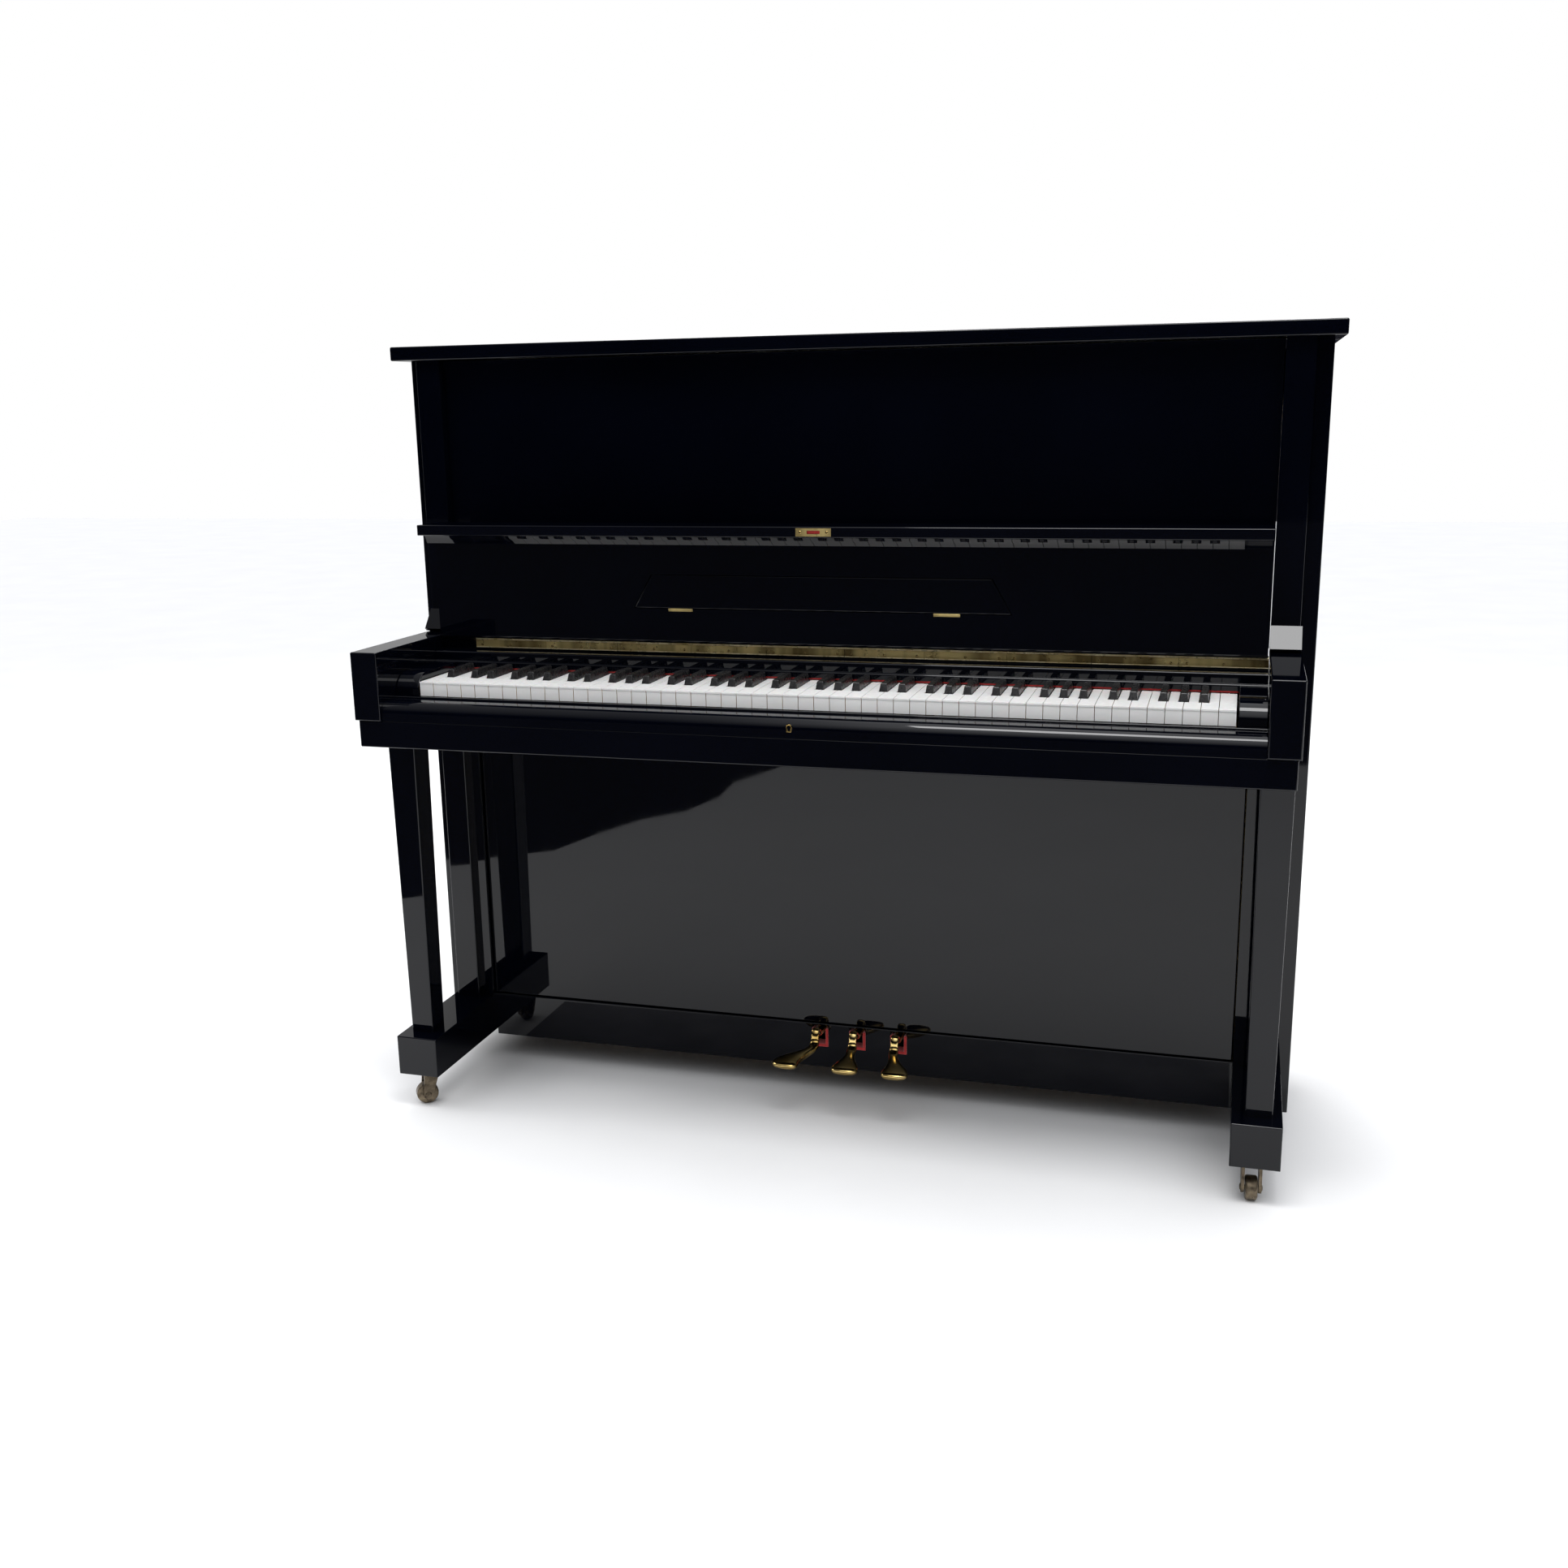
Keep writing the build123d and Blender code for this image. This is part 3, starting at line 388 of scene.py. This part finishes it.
# ---- stage -------------------------------------------------------------------------------------------
FLOOR_SIZE = 14
floor_finish = Finish("pale_floor").set(Roughness=1.0, Specular_IOR_Level=0.0)
floor_finish.colour(floor_finish.between(floor_finish.noise(3, 4), (0.86, 0.86, 0.86), (0.89, 0.89, 0.89)))
floor_finish.bump((floor_finish.noise(240, 3), 0.05, 0.0004))
bm = bmesh.new()
bmesh.ops.create_grid(bm, x_segments=8, y_segments=8, size=FLOOR_SIZE)
floor = mesh_object("studio_floor", bm)
floor.data.materials.append(floor_finish.material)


def unseen_patch(name, outline, height, finish_name, dark, light, scale):
    """A flat dark patch just over the floor, which only the polish reflects: it paints a dark reflection."""
    bm = bmesh.new()
    bm.faces.new([bm.verts.new((x, y, height)) for x, y in outline])
    patch = mesh_object(name, bm)
    finish = Finish(finish_name).set(Roughness=0.95)
    finish.colour(finish.between(finish.noise(scale, 4), dark, light))
    patch.data.materials.append(finish.material)
    patch.visible_camera = patch.visible_diffuse = patch.visible_shadow = False


# This patch paints a dark reflection: its near edge gives the wavy dark reflection in the lower panel; the
# rest lies out of the picture.
DARK_REFLECTION_EDGE = ((-1.30, -1.16), (-1.11, -1.30), (-1.06, -1.50), (-1.00, -1.66), (-0.91, -1.78),
            (-0.87, -1.96), (-0.885, -2.16), (-0.80, -2.42), (-0.30, -2.66), (0.60, -2.76), (3.2, -2.8),
            (14, -2.9))
DARK_REFLECTION_REST = ((14, -14), (-14, -14), (-14, 12), (-3.2, 12), (-3.2, -0.9))
UNDER_PIANO = ((-0.63, -0.29), (0.63, -0.31), (0.63, 0.30), (-0.63, 0.30))
unseen_patch("painted_dark_reflection_sheet", (*DARK_REFLECTION_EDGE, *DARK_REFLECTION_REST), 0.003, "painted_dark_reflection",
             (0.006, 0.006, 0.008), (0.012, 0.012, 0.016), 60)
# A painted shadow of the piano on the floor, seen only in the polish of the bottom rail and toe blocks.
unseen_patch("studio_shade", UNDER_PIANO, 0.0045, "shaded_floor",
             (0.20, 0.20, 0.21), (0.30, 0.30, 0.31), 8)

# ---- finer copies of CAD nodes -----------------------------------------------------------------------
SAME_POINT, SAME_PLANE = 0.00002, math.radians(1)


def cleaned(node):
    """A bmesh of a CAD node with its split corners joined and its flat faces whole."""
    bm = bmesh.new()
    bm.from_mesh(nodes[node].data)
    bmesh.ops.remove_doubles(bm, verts=bm.verts, dist=SAME_POINT)
    bmesh.ops.dissolve_limit(bm, angle_limit=SAME_PLANE, verts=bm.verts, edges=bm.edges)
    return bm


def settle(made, body, slot, material, *stands_for):
    """Finishes a piece: material, what it stands for and the body it rides on. The slot is not used."""
    if not made.data.materials:
        made.data.materials.append(material)
    if stands_for:
        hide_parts(*stands_for)
    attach(made, body)


def soften(made, width, segments=2, angle=35):
    """Rounded edges, with normals weighted by area so that the flats stay flat."""
    for polygon in made.data.polygons:
        polygon.use_smooth = True
    bevel = made.modifiers.new("rounding", "BEVEL")
    bevel.width, bevel.segments, bevel.limit_method = width, segments, "ANGLE"
    bevel.angle_limit = math.radians(angle)
    bevel.use_clamp_overlap = True
    flats = made.modifiers.new("flats", "WEIGHTED_NORMAL")
    flats.mode, flats.weight, flats.keep_sharp = "FACE_AREA", 100, True
    return made


def refine(node, width):
    """The CAD node itself, with its edges rounded to the given width."""
    made = soften(mesh_object(f"{node}_finished", cleaned(node)), width)
    slot = SLOT_OF[node]
    settle(made, BODY_OF[node], slot, MATERIAL_OF[slot], node)


def tint(made, *materials):
    """Gives a mesh its list of materials, before faces are told which they use."""
    for material in materials:
        made.data.materials.append(material)
    return made


def block(bm, low, high):
    """An upright box from its two corners, in a mesh that is being made."""
    for vert in bmesh.ops.create_cube(bm, size=1.0)["verts"]:
        vert.co = Vector([a + (b - a) * (c + 0.5) for a, b, c in zip(low, high, vert.co)])


def turned(bm, outline, centre, axis, steps=20):
    """A lathe-turned solid: outline gives (distance along the axis, radius) pairs."""
    axis = Vector(axis).normalized()
    side = axis.orthogonal().normalized()
    other = axis.cross(side)
    rings = [[bm.verts.new(Vector(centre) + axis * along + radius * (
        math.cos(2 * math.pi * i / steps) * side + math.sin(2 * math.pi * i / steps) * other))
        for i in range(steps)] for along, radius in outline]
    for first, second in zip(rings, rings[1:]):
        for i in range(steps):
            bm.faces.new((first[i], first[(i + 1) % steps], second[(i + 1) % steps], second[i]))
    bm.faces.new(rings[0][::-1])
    bm.faces.new(rings[-1])


SLOT_HALF = 0.13    # half the width of a screw's slot, as a share of its radius
SCREW_PROFILE = ((-0.0006, 1.0), (0.0001, 1.0), (0.00035, 0.84))    # height, share of the radius


def screw_head(bm, centre, normal, radius, turn):
    """A countersunk slotted screw: two half discs with the slot between them."""
    normal = Vector(normal).normalized()
    side = Matrix.Rotation(turn, 3, normal) @ normal.orthogonal().normalized()
    other = normal.cross(side)
    centre = Vector(centre)
    start = math.asin(SLOT_HALF)
    arc = [start + (math.pi - 2 * start) * i / 8 for i in range(9)]
    for half in (-1, 1):
        levels = []
        for height, share in SCREW_PROFILE:
            levels.append([bm.verts.new(centre + normal * height + radius * share * (
                math.cos(a) * side + half * math.sin(a) * other)) for a in arc])
        for first, second in zip(levels, levels[1:]):
            for i in range(len(arc)):
                j = (i + 1) % len(arc)
                bm.faces.new((first[i], first[j], second[j], second[i]))
        bm.faces.new(levels[-1])
    turned(bm, ((-0.0006, radius), (-0.00045, radius * 0.98)), centre, normal, 16)


KNUCKLE_GAP, KNUCKLE_CHAMFER, KNUCKLE_END = 0.0003, 0.0002, 0.86


def knuckles(bm_of, y, z, x_range, length, radius):
    """Hinge knuckles along X, taken in turn by the meshes given."""
    count = round((x_range[1] - x_range[0]) / length)
    pitch = (x_range[1] - x_range[0]) / count
    end, long = radius * KNUCKLE_END, pitch - KNUCKLE_GAP
    outline = ((0, end), (KNUCKLE_CHAMFER, radius), (long - KNUCKLE_CHAMFER, radius), (long, end))
    for i in range(count):
        left = x_range[0] + i * pitch + KNUCKLE_GAP / 2
        turned(bm_of[i % len(bm_of)], outline, (left, y, z), (1, 0, 0), 12)


def tidy_normals(bm):
    bmesh.ops.recalc_face_normals(bm, faces=bm.faces)
    return bm


def rounded(bm, name, width, segments=2, angle=35):
    return soften(mesh_object(name, tidy_normals(bm)), width, segments, angle)


# ---- case: nodes with their edges rounded by these widths --------------------------------------------
for node, width in {
    "lid_front": 0.0016, "lid_rear": 0.0016, "keybed": 0.0014, "key_slip": 0.0008,
    "nameboard": 0.0006, "book_rest": 0.0018, "upper_panel": 0.0012, "lower_panel": 0.0008,
    "back_frame": 0.003, "bottom_board": 0.001, "fallboard": 0.0006, "key_blocks": 0.0012,
    "pilaster_left": 0.0009, "pilaster_right": 0.0009, "arm_left": 0.0008, "arm_right": 0.0008,
    "leg_left": 0.0008, "leg_right": 0.0008, "toe_block_left": 0.0009, "toe_block_right": 0.0009,
    "fallboard_lock_plate": 0.0004, "pedal_bushings": 0.0012,
    "side_board_left": 0.0008, "side_board_right": 0.0008, "iron_plate": 0.0025,
    "nameboard_felt": 0.0005, "soundboard": 0.001, "pedal_mounts": 0.0006,
    "caster_fork_front_left": 0.0006, "caster_fork_front_right": 0.0006, "caster_forks_rear": 0.0006,
}.items():
    refine(node, width)

# ---- keyboard ----------------------------------------------------------------------------------------
key_front, key_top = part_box("white_keys")[0].y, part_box("white_keys")[1].z
NEAR = 0.0003
CAP_THICK, CAP_OVERHANG, FRONT_DEPTH = 0.0024, 0.0007, 0.002
BLACK_BASE, BLACK_TIP = 0.0065, 0.0046    # half widths of a black key's cap, below and above
BLACK_FOOT, BLACK_SLOPE, BLACK_CREST = 0.0030, 0.0047, 0.022
STICK_PROUD = 0.0002
WHITE_NODES = [n for n in nodes if SLOT_OF[n] == "white_key"]
BLACK_NODES = [n for n in nodes if SLOT_OF[n] == "black_key"]


def top_faces(bm, height):
    """The faces of a mesh that look up, at a given height."""
    return [f for f in bm.faces if f.normal.z > 0.9 and f.calc_center_median().z > height - NEAR]


def black_cap(bm, face):
    """A black key's cap over a key's top face: sides that lean in and a sloped front."""
    xs, ys = [v.co.x for v in face.verts], [v.co.y for v in face.verts]
    middle, front, back = (min(xs) + max(xs)) / 2, min(ys), max(ys)
    rows = ((front - BLACK_SLOPE, cap_low, BLACK_BASE), (front + 0.0002, cap_top - 0.0004, BLACK_TIP),
            (front + BLACK_CREST, cap_top, BLACK_TIP), (back, cap_top - 0.0002, BLACK_TIP))
    low = [[bm.verts.new((middle + side * BLACK_BASE, y, cap_low)) for side in (-1, 1)] for y, _, _ in rows]
    high = [[bm.verts.new((middle + side * half, y, z)) for side in (-1, 1)] for y, z, half in rows[1:]]
    chain = [low[0], *high]
    for (a, b), (c, d) in zip(chain, chain[1:]):
        bm.faces.new((a, b, d, c))
    for side in (0, 1):
        bm.faces.new((low[0][side], high[0][side], low[1][side]))
        for i in (0, 1):
            bm.faces.new((low[i + 1][side], high[i][side], high[i + 1][side], low[i + 2][side]))
    bm.faces.new((high[2][0], high[2][1], low[3][1], low[3][0]))


for node in WHITE_NODES:
    source = cleaned(node)
    caps = bmesh.new()
    for face in top_faces(source, key_top):
        caps.faces.new([caps.verts.new(v.co) for v in face.verts])
    lowered = bmesh.ops.extrude_face_region(caps, geom=caps.faces[:], use_keep_orig=True)
    for vert in lowered["geom"]:
        if isinstance(vert, bmesh.types.BMVert):
            vert.co.z -= CAP_THICK
    covers = rounded(caps, f"{node}_covers", 0.00055, 3)
    settle(covers, BODY_OF[node], "white_key", WHITE, node)

    for vert in source.verts:
        if vert.co.z > key_top - NEAR:
            vert.co.z -= CAP_THICK
        if vert.co.y < key_front + NEAR:
            vert.co.y += CAP_OVERHANG
    source.normal_update()
    for face in source.faces:
        at_front = face.normal.y < -0.7 and face.calc_center_median().y < key_front + FRONT_DEPTH
        face.material_index = 0 if at_front else 1
    sticks = tint(mesh_object(f"{node}_sticks", source), WHITE, KEY_WOOD)
    settle(sticks, BODY_OF[node], "bare_wood", KEY_WOOD)

cap_low, cap_top = key_top - BLACK_FOOT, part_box("black_keys")[1].z
for node in BLACK_NODES:
    source = cleaned(node)
    caps = bmesh.new()
    for face in top_faces(source, cap_top):
        black_cap(caps, face)
    covers = rounded(caps, f"{node}_caps", 0.0016, 4, 28)
    settle(covers, BODY_OF[node], "black_key", BLACK, node)
    for vert in source.verts:
        if vert.co.z > cap_low + STICK_PROUD / 2:
            vert.co.z = cap_low + STICK_PROUD
    sticks = tint(mesh_object(f"{node}_sticks", source), KEY_WOOD)
    settle(sticks, BODY_OF[node], "bare_wood", KEY_WOOD)

# ---- fallboard hinge: leaves with rolled lips and screws, and knuckles in turn on both bodies --------
leaf_low, leaf_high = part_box("fallboard_hinge")
_, pin_y, pin_z = PIVOT["fallboard_swing"]
LEAF_START, LEAF_COUNT, LEAF_THICK, LEAF_RISE = -0.593, 10, 0.0014, 0.0034
LEAF_INSET, LEAF_BELOW_PIN = 0.0002, 0.0016
LIP_RADIUS, LIP_INSET = 0.0010, 0.0004
SCREW_SHARES, SCREW_RADIUS = (0.09, 0.5, 0.91), 0.0021
LONG_KNUCKLE, KNUCKLE_RADIUS = 0.0125, 0.0021
leaf_front = min(v.co.y for v in nodes["fallboard_hinge"].data.vertices if v.co.z < leaf_low.z + 0.001)
leaf_bottom, leaf_top = leaf_low.z + LEAF_RISE, pin_z - LEAF_BELOW_PIN
leaf_pitch = (leaf_high.x - LEAF_START) / LEAF_COUNT
leaves, lips, fixed_rings, moving_rings, screws = (bmesh.new() for _ in range(5))
dice = random.Random(4)
for i in range(LEAF_COUNT):
    left = LEAF_START + i * leaf_pitch
    block(leaves, (left + LEAF_INSET, leaf_front - LEAF_INSET, leaf_bottom),
          (left + leaf_pitch - LEAF_INSET, leaf_front + LEAF_THICK - LEAF_INSET, leaf_top))
    turned(lips, ((0, LIP_RADIUS), (leaf_pitch - 2 * LIP_INSET, LIP_RADIUS)),
           (left + LIP_INSET, leaf_front + LEAF_INSET, leaf_bottom), (1, 0, 0), 12)
    for share in SCREW_SHARES:
        screw_place = (left + share * leaf_pitch, leaf_front - LEAF_INSET, (leaf_low.z + leaf_top) / 2)
        screw_head(screws, screw_place, (0, -1, 0), SCREW_RADIUS, dice.uniform(0, math.pi))
knuckles((fixed_rings, moving_rings), pin_y, pin_z, (LEAF_START, leaf_high.x), LONG_KNUCKLE, KNUCKLE_RADIUS)
settle(rounded(leaves, "fallboard_hinge_leaves", 0.0003), "case", "brass", BRASS, "fallboard_hinge")
# The lips and knuckles take the lighter brass copy, a painted highlight.
settle(rounded(lips, "fallboard_hinge_lips", 0.0001), "case", "brass", HIGHLIGHT_BRASS)
settle(rounded(fixed_rings, "fallboard_hinge_fixed_knuckles", 0.0001), "case", "brass", HIGHLIGHT_BRASS)
settle(rounded(moving_rings, "fallboard_hinge_moving_knuckles", 0.0001), "fallboard", "brass", HIGHLIGHT_BRASS)
settle(rounded(screws, "fallboard_hinge_screws", 0.0001), "case", "brass", PEDAL_BRASS)

# ---- keyhole plate on the key slip -------------------------------------------------------------------
lock_low, lock_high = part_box("key_lock")
lock_mid = (lock_low + lock_high) / 2
PLUG_RADIUS, PLUG_FRONT, PLUG_BACK = 0.0059, 0.0011, 0.014
OUTER_HOLE, INNER_HOLE = (0.0044, 0.0036, 0.0058), (0.0030, 0.0019, 0.0044)
SURROUND_DEPTHS = (0.0002, 0.0014)
HEAD_RISE = 0.0012


def keyhole(radius, foot_half, foot_depth, steps=14):
    """Outline of a keyhole as (x, z) about its middle: a round head on a straight foot."""
    start = math.asin(foot_half / radius)
    turn = [start + (2 * math.pi - 2 * start) * i / steps for i in range(steps + 1)]
    head = [(-radius * math.sin(a), HEAD_RISE - radius * math.cos(a)) for a in turn]
    return [(foot_half, -foot_depth), (-foot_half, -foot_depth), *head]


plug, surround = bmesh.new(), bmesh.new()
turned(plug, ((PLUG_FRONT, PLUG_RADIUS), (PLUG_BACK, PLUG_RADIUS)),
       (lock_mid.x, lock_low.y, lock_mid.z), (0, 1, 0), 32)
edges = []
for depth in SURROUND_DEPTHS:
    edges.append([[surround.verts.new((lock_mid.x + x, lock_low.y + depth, lock_mid.z + z)) for x, z in line]
                  for line in (keyhole(*OUTER_HOLE), keyhole(*INNER_HOLE))])
(front_outer, front_inner), (back_outer, back_inner) = edges
for i in range(len(front_outer)):
    j = (i + 1) % len(front_outer)
    for quad in ((front_outer, front_inner), (back_outer, front_outer), (front_inner, back_inner)):
        surround.faces.new((quad[0][i], quad[0][j], quad[1][j], quad[1][i]))
settle(rounded(plug, "key_lock_plug", 0.0003), "case", "gloss_black", LACQUER, "key_lock")
settle(rounded(surround, "key_lock_surround", 0.0003), "case", "brass", PEDAL_BRASS)

# ---- lid hinge ---------------------------------------------------------------------------------------
lid_low, lid_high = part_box("lid_hinge")
_, lid_y, lid_z = PIVOT["lid_fold"]
LID_KNUCKLE = 0.026
spine, rear_rings, front_rings = bmesh.new(), bmesh.new(), bmesh.new()
block(spine, (lid_low.x, lid_y - 0.0009, lid_low.z), (lid_high.x, lid_y + 0.0001, lid_z - 0.0015))
knuckles((rear_rings, front_rings), lid_y, lid_z, (lid_low.x, lid_high.x), LID_KNUCKLE, KNUCKLE_RADIUS)
settle(rounded(spine, "lid_hinge_leaf", 0.0002), "case", "brass", BRASS, "lid_hinge")
settle(rounded(rear_rings, "lid_hinge_rear_knuckles", 0.0001), "case", "brass", BRASS)
settle(rounded(front_rings, "lid_hinge_front_knuckles", 0.0001), "lid_front", "brass", BRASS)

# ---- book rest hinges and the lock plate's screws and felt -------------------------------------------
rest_low, rest_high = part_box("book_rest_hinges")
_, rest_y, rest_z = PIVOT["book_rest_fold"]
HINGE_WIDTH, SMALL_KNUCKLE = 0.040, 0.008
BOARD_RADIUS, REST_RADIUS = 0.001, 0.0005
board_rings, rest_rings = bmesh.new(), bmesh.new()
for left in (rest_low.x, rest_high.x - HINGE_WIDTH):
    right = left + HINGE_WIDTH
    knuckles((board_rings,), rest_y - 0.0004, rest_z - 0.0010, (left, right), SMALL_KNUCKLE, BOARD_RADIUS)
    knuckles((rest_rings,), rest_y, rest_z, (left, right), SMALL_KNUCKLE, REST_RADIUS)
    block(board_rings, (left, rest_y + 0.0001, rest_z - 0.0042), (right, rest_y + 0.0007, rest_z - 0.0012))
settle(rounded(board_rings, "book_rest_hinge_board_side", 0.0001),
       "fallboard", "brass", BRASS, "book_rest_hinges")
settle(rounded(rest_rings, "book_rest_hinge_rest_side", 0.0001), "book_rest", "brass", BRASS)

plate_low, plate_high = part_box("fallboard_lock_plate")
plate_mid = (plate_low + plate_high) / 2
PLATE_SCREW_X, PLATE_SCREW_RADIUS, PLATE_SCREW_TURN = 0.0205, 0.0022, 0.4
FELT_HALF_WIDTH, FELT_HALF_HEIGHT, FELT_FRONT, FELT_BACK = 0.0099, 0.0024, 0.0022, 0.006
plate_screws, lock_felt = bmesh.new(), bmesh.new()
for side in (-1, 1):
    screw_head(plate_screws, (plate_mid.x + side * PLATE_SCREW_X, plate_low.y, plate_mid.z), (0, -1, 0),
               PLATE_SCREW_RADIUS, PLATE_SCREW_TURN * side)
block(lock_felt, (plate_mid.x - FELT_HALF_WIDTH, plate_low.y + FELT_FRONT, plate_mid.z - FELT_HALF_HEIGHT),
      (plate_mid.x + FELT_HALF_WIDTH, plate_low.y + FELT_BACK, plate_mid.z + FELT_HALF_HEIGHT))
settle(rounded(plate_screws, "lock_plate_screws", 0.0001), "fallboard", "brass", PEDAL_BRASS)
settle(rounded(lock_felt, "lock_slot_felt", 0.0005), "fallboard", "red_felt", RED_FELT)

# ---- pedals ------------------------------------------------------------------------------------------
# Rows of: distance behind the key fronts, height, half width and half thickness, all in mm, and the share
# of the sideways sweep.
PEDAL_PATH = (
    (377, 112, 6.2, 5.4, 0), (300, 112, 6.2, 5.4, 0), (240, 112, 6.0, 5.4, 0), (224, 112.2, 6.2, 5.2, 0),
    (216, 115, 6.4, 4.8, 0), (210.5, 121, 6.4, 4.2, 0), (205.5, 126, 6.4, 3.9, 0),
    (200.5, 126.8, 6.4, 3.9, 0), (197, 123, 6.4, 3.7, 0), (195.6, 117, 6.5, 3.6, 0),
    (195, 110.5, 6.6, 3.7, 0), (192.6, 105.4, 7.6, 4.8, 0), (188, 102, 8.2, 5.4, 0.01),
    (183, 99.6, 7.6, 5.2, 0.05), (174, 97.2, 8.2, 5.8, 0.22),
    (164, 95.4, 10.4, 6.6, 0.44), (154, 94.2, 14.2, 7.2, 0.66), (145, 93.4, 18.4, 7.4, 0.83),
    (136.5, 92.8, 21.6, 7.2, 0.95), (129, 92.4, 22.4, 6.6, 1.0), (123, 92, 20.4, 5.6, 1.03),
    (119.6, 91.7, 15.2, 4.3, 1.05), (118.3, 91.5, 7.0, 2.2, 1.05))
SWEEP = {"pedal_left": -0.034, "pedal_middle": 0.002, "pedal_right": 0.014}
PEDAL_RING = 20
PEDAL_SQUARE = 0.72     # power that squares the round section off; 1 would be an ellipse
LAST_STRAIGHT = 11      # rows up to this one keep their width along X
STEEP = 0.75
for node, sweep in SWEEP.items():
    pedal_x = PIVOT[f"{node}_press"].x
    spine = [Vector((pedal_x + sweep * share, key_front + d / 1000, z / 1000))
             for d, z, _, _, share in PEDAL_PATH]
    bm = bmesh.new()
    rings = []
    for i, (point, (_, _, wide, thick, _)) in enumerate(zip(spine, PEDAL_PATH)):
        before, after = spine[max(i - 1, 0)], spine[min(i + 1, len(spine) - 1)]
        along = (after - before).normalized()
        sideways = abs(along.z) < STEEP and i > LAST_STRAIGHT
        across = Vector((-along.y, along.x, 0)) if sideways else Vector((1, 0, 0))
        across.normalize()
        normal = across.cross(along).normalized()
        ring = []
        for k in range(PEDAL_RING):
            angle = 2 * math.pi * k / PEDAL_RING
            c, s = math.cos(angle), math.sin(angle)
            ring.append(bm.verts.new(point + across * (wide / 1000) * math.copysign(abs(c) ** PEDAL_SQUARE, c)
                                     + normal * (thick / 1000) * math.copysign(abs(s) ** PEDAL_SQUARE, s)))
        last, half = rings[-1][0].co if rings else ring[0].co, PEDAL_RING // 2
        if (ring[0].co - last).length > (ring[half].co - last).length:
            ring = [ring[(half - k) % PEDAL_RING] for k in range(PEDAL_RING)]
        rings.append(ring)
    for first, second in zip(rings, rings[1:]):
        for k in range(PEDAL_RING):
            bm.faces.new((first[k], first[(k + 1) % PEDAL_RING], second[(k + 1) % PEDAL_RING], second[k]))
    bm.faces.new(rings[0][::-1])
    bm.faces.new(rings[-1])
    pedal = mesh_object(f"{node}_cast", tidy_normals(bm))
    for polygon in pedal.data.polygons:
        polygon.use_smooth = True
    smooth = pedal.modifiers.new("smooth", "SUBSURF")
    smooth.levels = smooth.render_levels = 2
    settle(pedal, node, "polished_brass", PEDAL_BRASS, node)

# ---- casters: rivet heads on the axles ---------------------------------------------------------------
RIVET_PROFILE = ((0.0144, 0.0052), (0.0152, 0.0050), (0.0160, 0.0040), (0.0164, 0.0022))
for joint in [j for j in frame["joints"] if j["name"].startswith("wheel_")]:
    bm = bmesh.new()
    axis, hub = Vector(joint["axis"]), Vector(joint["pos_m"])
    for side in (-1, 1):
        turned(bm, RIVET_PROFILE, hub, axis * side, 20)
    settle(rounded(bm, f"{joint['name']}_rivets", 0.0001), joint["parent"], "aged_bronze", BRONZE)

# ---- hammers: felt on wooden shanks ------------------------------------------------------------------
HEAD_HEIGHT, HEAD_LENGTH = 0.0265, 0.026
source = cleaned("hammers")
head_low = max(v.co.z for v in source.verts) - HEAD_HEIGHT
head_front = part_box("hammers")[1].y - HEAD_LENGTH
for face in source.faces:
    middle = face.calc_center_median()
    face.material_index = 1 if middle.z > head_low and middle.y > head_front else 0
felted = tint(mesh_object("hammers_felted", source), KEY_WOOD, WHITE_FELT)
settle(felted, "hammers", "bare_wood", KEY_WOOD, "hammers")

# ---- the CAD nodes that nothing replaces -------------------------------------------------------------
for node, cad in nodes.items():
    if not cad.hide_render:
        cad.data.materials.clear()
        cad.data.materials.append(MATERIAL_OF[SLOT_OF[node]])
